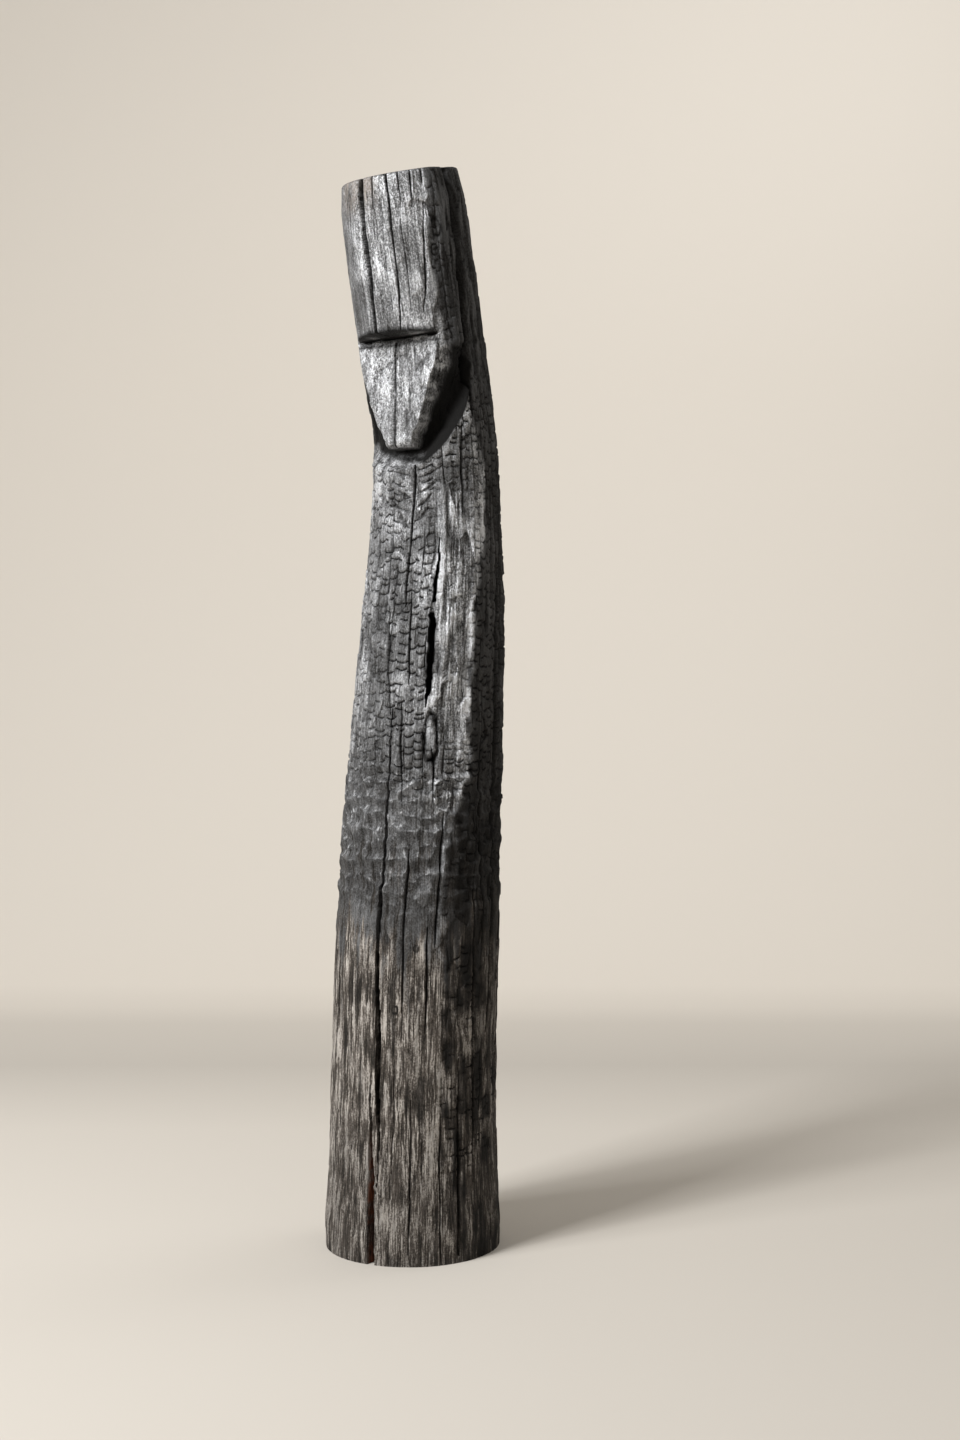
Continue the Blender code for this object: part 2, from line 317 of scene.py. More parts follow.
@dataclass
class Relief:
    """What a kind of mark does to the skin.

    Attributes:
        rise: Metres out of the log's surface.
        soot: From 0 to 1, how deep a point lies in sooty black and painted shade.
        crest: From 0 to 1, how far a point is a crest, rubbed and given a painted highlight.
    """

    rise: Array
    soot: Array
    crest: Array | float = 0.0


@dataclass(frozen=True)
class CharBlocks:
    """Blocks that fire splits wood into: strips up the grain, cracked across.

    Attributes:
        strip: Width of a strip.
        block: Middling height of a block.
        swell: How far a block's middle stands above its edges.
        cleft: Depth of a crack between blocks.
        crack: Half width of a crack.
        droop: How far a crack across the grain sags, as a share of a block.
        seed: Which blocks.
    """

    strip: float = 17 * MM
    block: float = 17 * MM
    swell: float = 1.1 * MM
    cleft: float = 3.6 * MM
    crack: float = 1.05 * MM
    droop: float = 0.20
    seed: int = 11

    def relief(self, at: Strew) -> Relief:
        """Cut the blocks.

        Args:
            at: The grid.

        Returns:
            The blocks' relief all over the grid.
        """
        rng = np.random.default_rng(self.seed)
        count = at.cells(self.strip)
        u = at.turn * count
        u = u + 0.42 * at.noise(30 * MM, 130 * MM, self.seed + 1)
        u = u + 0.16 * at.noise(14 * MM, 34 * MM, self.seed + 2)
        u = u + 0.07 * at.noise(7 * MM, 9 * MM, self.seed + 3)
        strip = np.floor(u).astype(np.int64)
        inside = u - strip
        strip %= count
        tall = self.block * (0.72 + 0.62 * rng.random(count))[strip]
        sag = self.droop * (1 - (2 * inside - 1) ** 2)
        t = at.height / tall + 29 * rng.random(count)[strip] + sag
        t = t + 0.07 * at.noise(9 * MM, 14 * MM, self.seed + 4)
        row = np.floor(t).astype(np.int64)
        table = rng.random((count, 211, 3))
        across = np.zeros(u.shape)
        edge = np.full(u.shape, 1.0)
        for step in (-1, 0, 1):
            which = (row + step) % 211
            middle = row + step + 0.5 + 0.34 * (2 * table[strip, which, 0] - 1)
            away = np.abs(t - middle) * tall
            reach = 0.42 + 0.95 * table[strip, which, 1]
            from_side = np.where(table[strip, which, 2] > 0.5, inside, 1 - inside)
            there = eased(reach, reach - 0.14, from_side)
            across = np.maximum(across, there * bell(away, self.crack))
            edge = np.minimum(edge, away + (1 - there) * self.block)
        side = np.minimum(inside, 1 - inside) * self.strip
        split = eased(-0.1, 0.4, at.noise(self.strip, 80 * MM, self.seed + 5))
        upright = split * bell(side, self.crack * 0.85)
        dome = (1 - np.exp(-edge / (2.2 * MM))) * (1 - split * np.exp(-side / (2.0 * MM)))
        cracks = np.maximum(across, upright)
        # The cracks between blocks are carried as sooty black and painted shade.
        return Relief(self.swell * (dome - 0.75) - self.cleft * cracks, cracks)


@dataclass(frozen=True)
class GougeMarks:
    """Scoops left by a gouge worked down the log, each ending at a crisp lower lip.

    Attributes:
        wide: Distance between scoops round the log.
        tall: Distance between scoops along it.
        hollow: Radius of the gouge's sweep.
        deepest: Depth of a scoop's middle.
        lip: Half width of a scoop's lower lip, rubbed and given a painted highlight.
        seed: Which scoops.
    """

    wide: float = 22 * MM
    tall: float = 25 * MM
    hollow: float = 18 * MM
    deepest: float = 5.6 * MM
    lip: float = 2.0 * MM
    seed: int = 37

    def relief(self, at: Strew) -> Relief:
        """Cut the scoops.

        Args:
            at: The grid.

        Returns:
            The scoops' relief all over the grid.
        """
        rng = np.random.default_rng(self.seed)
        count = at.cells(self.wide)
        rows = int(np.max(at.height) / self.tall) + 6
        seeds = rng.random((rows, count, 3))
        u = at.turn * count + 0.25 * at.noise(40 * MM, 60 * MM, self.seed + 1)
        v = at.height / self.tall + 2
        nearest = np.full(u.shape, 1.0)
        second = np.full(u.shape, 1.0)
        below = np.zeros(u.shape)
        for across, along, draws in at.scattered(u, v, (self.wide, self.tall), seeds, (0.15, 0.1)):
            along = np.where(along < 0, along * 1.75, along * 0.72)
            reach = across**2 + along**2 + (draws[..., 0] * 5 * MM) ** 2
            closer = reach < nearest
            second = np.where(closer, nearest, np.minimum(second, reach))
            below = np.where(closer, along < 0.25 * np.abs(across), below)
            nearest = np.minimum(nearest, reach)
        sweep = nearest / (2 * self.hollow)
        rise = np.minimum(sweep, self.deepest * 1.35) - self.deepest
        edge = np.sqrt(second) - np.sqrt(nearest)
        # The lower lips, which face up to the light, get a painted highlight as their crest; a painted
        # shadow line lies just under each lip.
        lip = bell(edge, self.lip * (1 + 0.5 * at.noise(12 * MM, 10 * MM, self.seed + 2))) * below
        shade = bell(edge, 2.4 * self.lip) * (1 - below)
        return Relief(rise, 0.55 * shade, lip)


@dataclass(frozen=True)
class HewnFacets:
    """Flat strokes of an adze: cells that each lean their own way.

    Attributes:
        wide: Distance between cells round the log.
        tall: Distance between cells along it.
        lean: Steepest slope of a cell.
        seed: Which cells.
    """

    wide: float = 27 * MM
    tall: float = 44 * MM
    lean: float = 0.13
    seed: int = 83

    def relief(self, at: Strew) -> Array:
        """Cut the facets.

        Args:
            at: The grid.

        Returns:
            The rise all over the grid.
        """
        rng = np.random.default_rng(self.seed)
        count = at.cells(self.wide)
        rows = int(np.max(at.height) / self.tall) + 7
        seeds = rng.random((rows, count, 4))
        u = at.turn * count + 0.30 * at.noise(30 * MM, 40 * MM, self.seed + 1)
        v = at.height / self.tall + 3 + 0.22 * at.noise(22 * MM, 50 * MM, self.seed + 2)
        nearest = np.full(u.shape, np.inf)
        rise = np.zeros(u.shape)
        for across, along, draws in at.scattered(u, v, (self.wide, self.tall), seeds):
            away = across**2 + (along * self.wide / self.tall) ** 2
            tilted = (2 * draws[..., 0] - 1) * across + (draws[..., 1] - 0.5) * along
            rise = np.where(away < nearest, tilted, rise)
            nearest = np.minimum(nearest, away)
        return rise * self.lean


class Finish(Enum):
    """Values that each point of the skin carries for its finish."""

    BURN = "burn"  # 0 weathered wood, 1 char
    SOOT_AND_SHADE = "soot"  # 0 open surface, 1 sooty black and painted shade: cracks, hollows, under the brow, the dark side
    WORN_AND_HIGHLIT = "worn"  # 0 in a hollow of the relief, 1 on its ridges: wear, and painted highlights on the arris, lips and crests
    BRUSHED_AND_PAINTED_SHEEN = "brushed"  # 0 as burnt, 1 shining: brushing, and painted sheen that is strongest on the lit front
    RAW = "raw"  # 0 none, 1 unburnt heartwood inside the foot's split
    RUBBED = "rubbed"  # 0 none, 1 brown scorched wood showing through
    END_GRAIN = "end_grain"  # 0 along the grain, 1 sawn across it


@dataclass(frozen=True)
class Crack:
    """A thin drying crack or a knife's stroke.

    Attributes:
        path: Azimuth, share and width in millimetres along it.
        depth: How deep it is.
        shade: How dark it is painted, sooty black and painted shade; a crack's sides are darkened too.
    """

    path: tuple[tuple[float, float, float], ...]
    depth: float = 7 * MM
    shade: float = 1.3


# Cracks on the seen side, each upwards: head, face, body, foot, then three knife strokes
CRACKS = (
    Crack(
        (
            (-8.8, 0.862, 2.6), (-8.5, 0.880, 3.2), (-7.4, 0.907, 4.6), (-7.2, 0.930, 4.4),
            (-8.1, 0.955, 5.2), (-8.8, 1.000, 7.0),
        ),
        14 * MM,
    ),
    Crack(
        (
            (76.5, 0.780, 1.2), (78.4, 0.806, 4.6), (79.8, 0.832, 7.0), (85.0, 0.865, 8.5),
            (90.8, 0.902, 10.0), (93.7, 0.932, 11.5), (95.8, 0.970, 13.5), (99.0, 1.000, 17.0),
        ),
        18 * MM,
    ),
    Crack(((16.5, 0.866, 1.0), (19.0, 0.893, 1.8), (20.2, 0.930, 1.4), (20.2, 1.000, 2.2))),
    Crack(((4.6, 0.972, 0.6), (5.4, 1.000, 2.2))),
    Crack(((31.2, 0.975, 0.6), (31.6, 1.000, 2.2))),
    Crack(((40.8, 0.968, 0.6), (44.3, 1.000, 2.4))),
    Crack(((54.0, 0.985, 0.6), (55.6, 1.000, 2.4))),
    Crack(((38.5, 0.878, 0.6), (43.5, 0.900, 1.6), (46.0, 0.925, 1.8), (52.0, 0.972, 0.8))),
    Crack(((12.0, 0.885, 0.5), (11.0, 0.920, 1.0), (12.5, 0.960, 0.5)), 3 * MM),
    Crack(((28.0, 0.880, 0.5), (29.5, 0.920, 1.0), (29.0, 0.965, 0.5)), 3 * MM),
    Crack(((-24.0, 0.880, 0.5), (-25.0, 0.930, 1.0), (-25.5, 0.990, 0.8)), 4 * MM),
    Crack(((-40.0, 0.900, 0.5), (-41.0, 0.950, 1.2), (-42.0, 1.000, 1.6)), 5 * MM),
    Crack(
        (
            (-3.0, 0.750, 2.0), (-3.0, 0.780, 1.8), (-2.9, 0.816, 1.6), (-4.6, 0.841, 2.0),
            (-3.4, 0.855, 2.2),
        ),
        9 * MM,
    ),
    Crack(((22.8, 0.828, 0.6), (24.6, 0.848, 1.4)), 4 * MM),
    Crack(((14.2, 0.788, 0.6), (15.4, 0.808, 1.3), (16.0, 0.828, 0.6)), 4 * MM),
    Crack(((10.0, 0.763, 0.9), (10.6, 0.792, 0.9)), 4 * MM),
    Crack(((-19.0, 0.764, 0.6), (-16.5, 0.784, 1.1)), 4 * MM),
    Crack(
        (
            (10.3, 0.600, 1.0), (10.2, 0.624, 2.2), (12.4, 0.655, 2.0), (12.9, 0.690, 2.2),
            (15.0, 0.735, 2.4),
        ),
        9 * MM,
    ),
    Crack(((18.2, 0.527, 0.8), (17.4, 0.552, 2.0), (15.7, 0.588, 1.6), (15.0, 0.612, 0.8)), 8 * MM),
    Crack(((17.6, 0.420, 0.8), (15.4, 0.468, 2.0), (13.2, 0.512, 1.0)), 8 * MM),
    Crack(((4.8, 0.500, 1.0), (0.0, 0.540, 1.6), (-1.4, 0.570, 1.8), (-2.8, 0.600, 0.8)), 8 * MM),
    Crack(((40.6, 0.420, 0.8), (39.6, 0.457, 2.6), (37.6, 0.470, 1.2)), 9 * MM),
    Crack(
        (
            (46.2, 0.288, 0.8), (46.6, 0.303, 2.4), (47.8, 0.352, 2.8), (47.7, 0.377, 2.4),
            (49.0, 0.410, 1.0),
        ),
        10 * MM,
    ),
    Crack(
        (
            (24.2, 0.228, 0.8), (24.0, 0.270, 2.0), (23.6, 0.310, 2.2), (25.2, 0.360, 1.8),
            (24.5, 0.378, 0.8),
        ),
        8 * MM,
    ),
    Crack(((41.2, 0.205, 0.8), (40.5, 0.240, 2.0), (40.4, 0.290, 1.8), (41.0, 0.306, 0.8)), 8 * MM),
    Crack(((56.3, 0.683, 0.8), (56.8, 0.720, 2.4), (59.0, 0.756, 2.2), (60.0, 0.775, 0.8)), 9 * MM),
    Crack(
        (
            (91.0, 0.205, 1.4), (96.5, 0.240, 4.2), (96.0, 0.298, 5.0), (101.0, 0.347, 5.0),
            (109.0, 0.420, 5.4), (110.0, 0.500, 6.0), (106.5, 0.575, 5.0), (110.5, 0.650, 1.6),
        ),
        12 * MM,
    ),
    Crack(((78.0, 0.160, 1.0), (77.2, 0.256, 3.2), (75.2, 0.345, 1.2)), 8 * MM),
    Crack(((64.6, 0.006, 3.0), (65.6, 0.093, 3.4), (65.0, 0.186, 1.2)), 9 * MM),
    Crack(((77.8, 0.070, 1.0), (78.3, 0.127, 3.2), (78.0, 0.183, 1.2)), 8 * MM),
    Crack(((-24.2, 0.074, 0.8), (-23.2, 0.097, 1.8), (-22.2, 0.122, 0.8)), 6 * MM),
    Crack(((-34.0, 0.180, 0.6), (-33.0, 0.260, 1.6), (-34.0, 0.330, 0.8)), 6 * MM),
    Crack(((19.5, 0.060, 0.6), (20.6, 0.140, 1.4), (20.0, 0.210, 0.6)), 5 * MM),
    Crack(((31.0, 0.010, 1.6), (32.0, 0.080, 1.6), (31.5, 0.150, 0.6)), 6 * MM),
    Crack(((52.0, 0.000, 1.4), (51.0, 0.090, 1.8), (52.5, 0.170, 0.6)), 6 * MM),
    Crack(((-30.0, 0.8285, 3.0), (-14.0, 0.8350, 9.0), (6.0, 0.8430, 4.0)), 1.6 * MM, 0.42),
    Crack(((24.0, 0.8262, 3.0), (31.0, 0.8330, 8.0), (40.0, 0.8410, 4.0)), 1.6 * MM, 0.36),
    Crack(((6.0, 0.7660, 2.0), (11.0, 0.7770, 5.0), (17.0, 0.7880, 3.0)), 1.4 * MM, 0.36),
)

# Curved cracks under the chin, on both sides of the crack in its middle
RIPPLES = tuple(
    Crack(
        (
            (start, low, 2.0),
            (start + 0.45 * reach, low + 0.25 * climb, 7.0),
            (start + reach, low + climb, 2.0),
        ),
        2.4 * MM,
        0.62,
    )
    for start, reach, low, climb in (
        (15, 16, 0.7290, 0.0060), (14, 21, 0.7215, 0.0085), (19, 11, 0.7160, 0.0050),
        (15, 19, 0.7065, 0.0120), (17, 12, 0.6935, 0.0130), (15, 12, 0.6790, 0.0150),
        (11, -17, 0.7250, 0.0050), (7, -14, 0.7130, 0.0060), (11, -13, 0.7020, 0.0090),
        (6, -19, 0.6900, 0.0150), (10, -11, 0.6730, 0.0170),
    )
)


@dataclass(frozen=True)
class Knot:
    """Where a branch left the log.

    Attributes:
        azimuth: Where it is round the log.
        share: Where it is up the log.
        wide: Half its width.
        tall: Half its height.
        sunk: Depth of the ring round it.
        proud: How far its middle stands up.
        charred: How sooty its middle is, from 0 to 1.
    """

    azimuth: float
    share: float
    wide: float
    tall: float
    sunk: float = 2.0 * MM
    proud: float = 1.0 * MM
    charred: float = 0.5


KNOTS = (
    Knot(60.5, 0.9480, 9 * MM, 13 * MM, 1.4 * MM, 0.6 * MM, 0.3),
    Knot(56.8, 0.9300, 6 * MM, 8 * MM, 2.0 * MM, 0.0, 0.8),
    Knot(53.8, 0.9176, 5 * MM, 7 * MM, 2.0 * MM, 0.0, 0.8),
    Knot(32.9, 0.2871, 4 * MM, 5 * MM, 1.4 * MM, 1.2 * MM),
    Knot(36.9, 0.4785, 10 * MM, 34 * MM, 7.5 * MM, 2.0 * MM, 0.5),
    Knot(19.7, 0.2314, 4 * MM, 6 * MM, 1.2 * MM, 0.6 * MM),
    Knot(-141.0, 0.560, 14 * MM, 22 * MM, 3.0 * MM, 1.5 * MM),
    Knot(164.0, 0.300, 11 * MM, 15 * MM, 2.4 * MM, 1.2 * MM),
)


@dataclass
class Ground:
    """The skin before any relief, and how its points lie to the carved forms.

    Attributes:
        at: The grid.
        centres: The centre line's point in each row.
        out: Directions out of the log.
        bare: The surface's points.
        radius: Distance of the surface from the centre line.
        sunk: How deep a point lies in a crevice or split.
        scooped: How deep it lies in the hollow round the neck.
        on_face: 1 on the flat face, else 0.
        under_chin: Whether it is on the hewn edge under the chin.
        over_face: Whether it is on the sawn bevel over the face.
        above: How far it is above the face's upper edge, along the log.
        down: Share of the way down the face.
        beside: How far it is past the face's edge.
    """

    at: Strew
    centres: Array
    out: Array
    bare: Array
    radius: Array
    sunk: Array
    scooped: Array
    on_face: Array
    under_chin: Array
    over_face: Array
    above: Array
    down: Array
    beside: Array


@dataclass
class Zones:
    """Where fire, tools and weather worked, and where shade is painted, from 0 to 1 at each point.

    Attributes:
        ragged: Broad noise from -1 to 1, which the zones' edges follow.
        head: Above the brow.
        hollow: Painted shade in the hollow round the neck, where the head's shadow falls.
        inside: In a crevice or split.
        slot: Painted shade in the slot and on the brow's underside.
        weathered: Rained grey, instead of charred.
        past_arris: Degrees past the edge where the front turns into the side.
        shaded: Painted shade on the side turned away from the lights.
        blocks: Char split into blocks.
        gouged: Scooped by the gouge.
        scar: The furrowed strip beside the crevice.
        rough: The head's rough side.
    """

    ragged: Array
    head: Array
    hollow: Array
    inside: Array
    slot: Array
    weathered: Array
    past_arris: Array
    shaded: Array
    blocks: Array
    gouged: Array
    scar: Array
    rough: Array


@dataclass
class FigureSkin:
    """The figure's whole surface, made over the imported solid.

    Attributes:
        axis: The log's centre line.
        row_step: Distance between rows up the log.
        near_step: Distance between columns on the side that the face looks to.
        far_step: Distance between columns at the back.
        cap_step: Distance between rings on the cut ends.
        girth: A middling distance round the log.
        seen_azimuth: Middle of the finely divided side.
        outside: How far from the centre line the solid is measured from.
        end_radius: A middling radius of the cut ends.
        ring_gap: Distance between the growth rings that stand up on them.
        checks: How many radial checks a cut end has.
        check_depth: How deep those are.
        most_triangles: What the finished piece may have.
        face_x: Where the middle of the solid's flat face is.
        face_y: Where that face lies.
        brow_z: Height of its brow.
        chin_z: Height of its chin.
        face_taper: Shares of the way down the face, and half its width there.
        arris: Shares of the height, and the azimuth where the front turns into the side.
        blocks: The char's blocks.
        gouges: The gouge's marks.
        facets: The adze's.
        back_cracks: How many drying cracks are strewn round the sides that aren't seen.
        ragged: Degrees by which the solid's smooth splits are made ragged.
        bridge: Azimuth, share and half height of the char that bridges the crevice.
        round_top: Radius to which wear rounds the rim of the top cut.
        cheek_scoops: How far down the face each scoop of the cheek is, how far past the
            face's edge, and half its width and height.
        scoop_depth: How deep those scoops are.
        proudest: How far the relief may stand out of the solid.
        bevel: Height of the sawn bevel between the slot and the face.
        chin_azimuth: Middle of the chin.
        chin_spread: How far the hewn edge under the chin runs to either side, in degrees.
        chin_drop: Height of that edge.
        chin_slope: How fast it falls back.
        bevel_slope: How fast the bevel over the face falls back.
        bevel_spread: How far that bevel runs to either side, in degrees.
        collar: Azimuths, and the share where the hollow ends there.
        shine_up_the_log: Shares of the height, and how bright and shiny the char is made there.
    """

    axis: LogAxis = field(default_factory=LogAxis)
    row_step: float = 1.7 * MM
    near_step: float = 1.25 * MM
    far_step: float = 3.0 * MM
    cap_step: float = 2.4 * MM
    girth: float = 2 * math.pi * 0.125
    seen_azimuth: float = 30.0
    outside: float = 0.30
    end_radius: float = 0.1
    ring_gap: float = 6 * MM
    checks: int = 26
    check_depth: float = 5 * MM
    most_triangles: int = 198000
    face_x: float = 0.020
    face_y: float = -0.0725
    brow_z: float = 1.462
    chin_z: float = 1.283
    face_taper: tuple[tuple[float, ...], tuple[float, ...]] = (
        (0.0, 0.34, 0.56, 0.78, 1.0),
        (0.083, 0.066, 0.054, 0.039, 0.024),
    )
    arris: tuple[tuple[float, ...], tuple[float, ...]] = (
        (0.0, 0.25, 0.29, 0.34, 0.38, 0.43, 0.52, 0.59, 0.64, 0.69, 0.73, 0.80, 0.86, 1.0),
        (60, 54, 53, 52, 56, 67, 70, 71, 80, 85, 93, 76, 57, 57),
    )
    collar: tuple[tuple[float, ...], tuple[float, ...]] = (
        (-60, -35, -10, 5, 20, 40, 60, 120),
        (0.762, 0.750, 0.743, 0.739, 0.737, 0.731, 0.728, 0.728),
    )
    blocks: CharBlocks = field(default_factory=CharBlocks)
    gouges: GougeMarks = field(default_factory=GougeMarks)
    facets: HewnFacets = field(default_factory=HewnFacets)
    back_cracks: int = 46
    ragged: float = 1.1
    round_top: float = 5 * MM
    cheek_scoops: tuple[tuple[float, float, float, float], ...] = (
        (0.40, 9 * MM, 13 * MM, 22 * MM),
        (0.64, 8 * MM, 12 * MM, 19 * MM),
        (0.86, 8 * MM, 11 * MM, 18 * MM),
    )
    scoop_depth: float = 4.0 * MM
    proudest: float = 1.6 * MM
    bevel: float = 11 * MM
    chin_azimuth: float = 7.0
    chin_spread: float = 16.0
    chin_drop: float = 11 * MM
    chin_slope: float = 0.9
    bevel_slope: float = 0.75
    bevel_spread: float = 46.0
    bridge: tuple[float, float, float] = (33.5, 0.599, 0.0055)
    shine_up_the_log: tuple[tuple[float, ...], tuple[float, ...]] = (
        (0.28, 0.33, 0.42, 0.52, 0.62, 0.72, 0.80, 0.90),
        (0.42, 0.46, 0.66, 0.80, 0.90, 0.94, 1.18, 1.34),
    )

    def columns(self) -> Array:
        """Give the azimuths of the grid's columns, closer together on the seen side."""
        fine = np.linspace(-180, 180, 3601)
        away = np.abs(signed(fine - self.seen_azimuth))
        step = self.near_step + (self.far_step - self.near_step) * eased(80, 112, away)
        passed = np.concatenate([[0], np.cumsum(np.diff(fine) / (step[1:] + step[:-1]) * 2)])
        count = round(passed[-1] * self.girth / 360)
        return np.interp(np.arange(count) / count * passed[-1], passed, fine)

    def sample(self, solid: bpy.types.Object, shares: Array, azimuths: Array) -> Array:
        """Measure the solid from outside, along each direction of the grid.

        Args:
            solid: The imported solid.
            shares: One share of the height for each row.
            azimuths: The azimuth of each point.

        Returns:
            Distance of the surface from the centre line, in rows and columns.
        """
        mesh = solid.data
        corners = [v.co for v in mesh.vertices]
        tree = BVHTree.FromPolygons(corners, [tuple(p.vertices) for p in mesh.polygons])
        centres = self.axis.centres(shares)
        out = self.axis.directions(shares, azimuths)
        origins = (centres[:, None, :] + out * self.outside).tolist()
        inwards = (-out).tolist()
        radius = np.full(out.shape[:2], np.nan)
        cast = tree.ray_cast
        for i, (row_origins, row_inwards) in enumerate(zip(origins, inwards)):
            found = [cast(o, d, self.outside)[3] for o, d in zip(row_origins, row_inwards)]
            radius[i] = [np.nan if f is None else self.outside - f for f in found]
        missed = np.isnan(radius)
        if missed.any():
            LOG.warning("%d directions found no surface", int(missed.sum()))
            middle = np.nanmedian(radius, axis=1)
            radius = np.where(missed, middle[:, None], radius)
        return radius

    def crack_relief(self, at: Strew, radius: Array) -> Relief:
        """Cut the thin drying cracks: those that are seen, then those strewn behind.

        Args:
            at: The grid.
            radius: Distance of the surface from the centre line.

        Returns:
            The cracks' relief all over the grid.
        """
        rise = np.zeros(at.azimuth.shape)
        soot = np.zeros(at.azimuth.shape)
        rng = np.random.default_rng(71)
        strewn = []
        for _ in range(self.back_cracks):
            middle = rng.uniform(75, 325)
            low = rng.uniform(-0.05, 0.93)
            high = low + rng.uniform(0.06, 0.30)
            lean = rng.uniform(-2.5, 2.5)
            wide = rng.uniform(1.2, 3.2)
            strewn.append(
                Crack(
                    (
                        (middle - lean, low, 0.6),
                        (middle + rng.uniform(-1, 1), (low + high) / 2, wide),
                        (middle + lean, high, 0.6),
                    ),
                    rng.uniform(4, 10) * MM,
                )
            )
        shares = at.share[:, 0]
        wobble = 0.7 * at.noise(60 * MM, 45 * MM, 5) + 0.35 * at.noise(40 * MM, 14 * MM, 6)
        for crack in (*CRACKS, *RIPPLES, *strewn):
            path = np.array(crack.path)
            rows = np.where((shares >= path[0, 1]) & (shares <= path[-1, 1]))[0]
            if not len(rows):
                continue
            middle = np.interp(shares[rows], path[:, 1], path[:, 0])
            half = np.interp(shares[rows], path[:, 1], path[:, 2]) * MM / 2
            away = at.from_azimuth(0)[rows] - middle[:, None] - wobble[rows] * 0.8
            away = np.abs(signed(away)) * np.pi / 180 * radius[rows]
            half = np.maximum(half, 0.45 * MM)[:, None]
            cut = bell(away, half * 1.25) * np.minimum(1, half / (0.9 * MM))
            cut = np.maximum(cut, eased(1.5, 0.9, away / half) * (half > 1.4 * MM))
            rise[rows] = np.minimum(rise[rows], -crack.depth * cut)
            # Cracks and their sides are painted dark: sooty black and painted shade.
            soot[rows] = np.maximum(soot[rows], np.minimum(1, crack.shade * cut))
        return Relief(rise, soot)

    def knot_relief(self, at: Strew) -> Relief:
        """Cut the knots.

        Args:
            at: The grid.

        Returns:
            The knots' relief all over the grid.
        """
        rise = np.zeros(at.azimuth.shape)
        soot = np.zeros(at.azimuth.shape)
        ragged = 1 + 0.16 * at.noise(9 * MM, 11 * MM, 91)
        for knot in KNOTS:
            across = at.from_azimuth(knot.azimuth) / 360 * self.girth / knot.wide
            along = (at.height - knot.share * self.axis.height) / knot.tall
            away = (np.abs(across) ** 3 + np.abs(along) ** 3) ** (1 / 3) * ragged
            ring = bell(away - 1, 0.22) * (0.55 + 0.45 * eased(-0.2, 0.3, at.noise(8 * MM, 9 * MM, 92)))
            inner = eased(1.0, 0.3, away)
            rise += knot.proud * inner - knot.sunk * ring
            # The sunk ring is painted dark, sooty black and painted shade; the middle as charred.
            soot = np.maximum(soot, np.maximum(np.minimum(1, 1.5 * ring), knot.charred * inner))
        return Relief(rise, soot)

    def bevelled(
        self, at: Strew, radius: Array, edge: Array, up: int, slope: float, reach: float, spread: float
    ) -> tuple[Array, Array, Array]:
        """Fill the step past an edge of the face with a plane that falls back from it.

        Args:
            at: The grid.
            radius: Distance of the surface from the centre line.
            edge: The edge's row in each column.
            up: 1 for a bevel above its edge, -1 for one below.
            slope: How fast it falls back.
            reach: Its height.
            spread: How far it runs to either side of the chin, in degrees.

        Returns:
            The new radii, whether a point is on the bevel, and how far past the edge it is.
        """
        columns = np.arange(len(edge))
        past = up * (at.height - at.height[edge, columns])
        bevel = radius[edge, columns] - slope * np.maximum(past, 0)
        on_it = (past > 0) & (past < reach) & (radius < bevel)
        on_it &= np.abs(at.from_azimuth(self.chin_azimuth)) < spread
        return np.where(on_it, bevel, radius), on_it, past

    def ground(self, solid: bpy.types.Object) -> Ground:
        """Measure the solid, and cut the bevels of its face.

        Args:
            solid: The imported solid.

        Returns:
            The skin before any relief.
        """
        shares = np.linspace(0, 1, round(self.axis.height / self.row_step))
        azimuths = self.columns()
        at = Strew(shares, azimuths, self.axis.height, self.girth)
        torn = 1.0 * at.noise(24 * MM, 17 * MM, 61) + 0.5 * at.noise(9 * MM, 8 * MM, 62)
        torn *= 0.22 + 0.78 * eased(0.745, 0.73, at.share) * eased(0.47, 0.50, at.share)
        short_of_ends = np.clip(shares, 0.0006, 0.9994)
        radius = self.sample(solid, short_of_ends, azimuths + self.ragged * torn)
        out = self.axis.directions(shares, azimuths)
        centres = self.axis.centres(shares)[:, None, :]
        height = (centres + out * radius[..., None])[..., 2]
        chin_edge = np.argmax(height > self.chin_z + 1 * MM, axis=0)
        radius, under_chin, _ = self.bevelled(
            at, radius, chin_edge, -1, self.chin_slope, self.chin_drop, self.chin_spread
        )
        face_edge = np.argmax(height > self.brow_z - self.bevel, axis=0) - 1
        radius, over_face, above = self.bevelled(
            at, radius, face_edge, 1, self.bevel_slope, 0.75 * self.bevel, self.bevel_spread
        )
        bare = centres + out * radius[..., None]
        open_radius = self.opened(radius, 10 * MM, self.near_step)
        azimuth, share, half = self.bridge
        bridging = eased(1.3, 0.8, np.abs(at.share - share) / half) * at.near(azimuth, 9)
        radius += np.maximum(open_radius - 2 * MM - radius, 0) * bridging
        x, y, z = np.moveaxis(bare, 2, 0)
        on_face = (np.abs(y - self.face_y) < 1.2 * MM) & (z < self.brow_z + 2 * MM) & (z > self.chin_z)
        down = (self.brow_z - z) / (self.brow_z - self.chin_z)
        return Ground(
            at,
            centres,
            out,
            bare,
            radius,
            sunk=open_radius - radius,
            scooped=self.opened(radius.T, 105 * MM, self.row_step).T - radius,
            on_face=on_face.astype(float),
            under_chin=under_chin,
            over_face=over_face,
            above=above,
            down=down,
            beside=np.abs(x - self.face_x) - np.interp(down, *self.face_taper),
        )

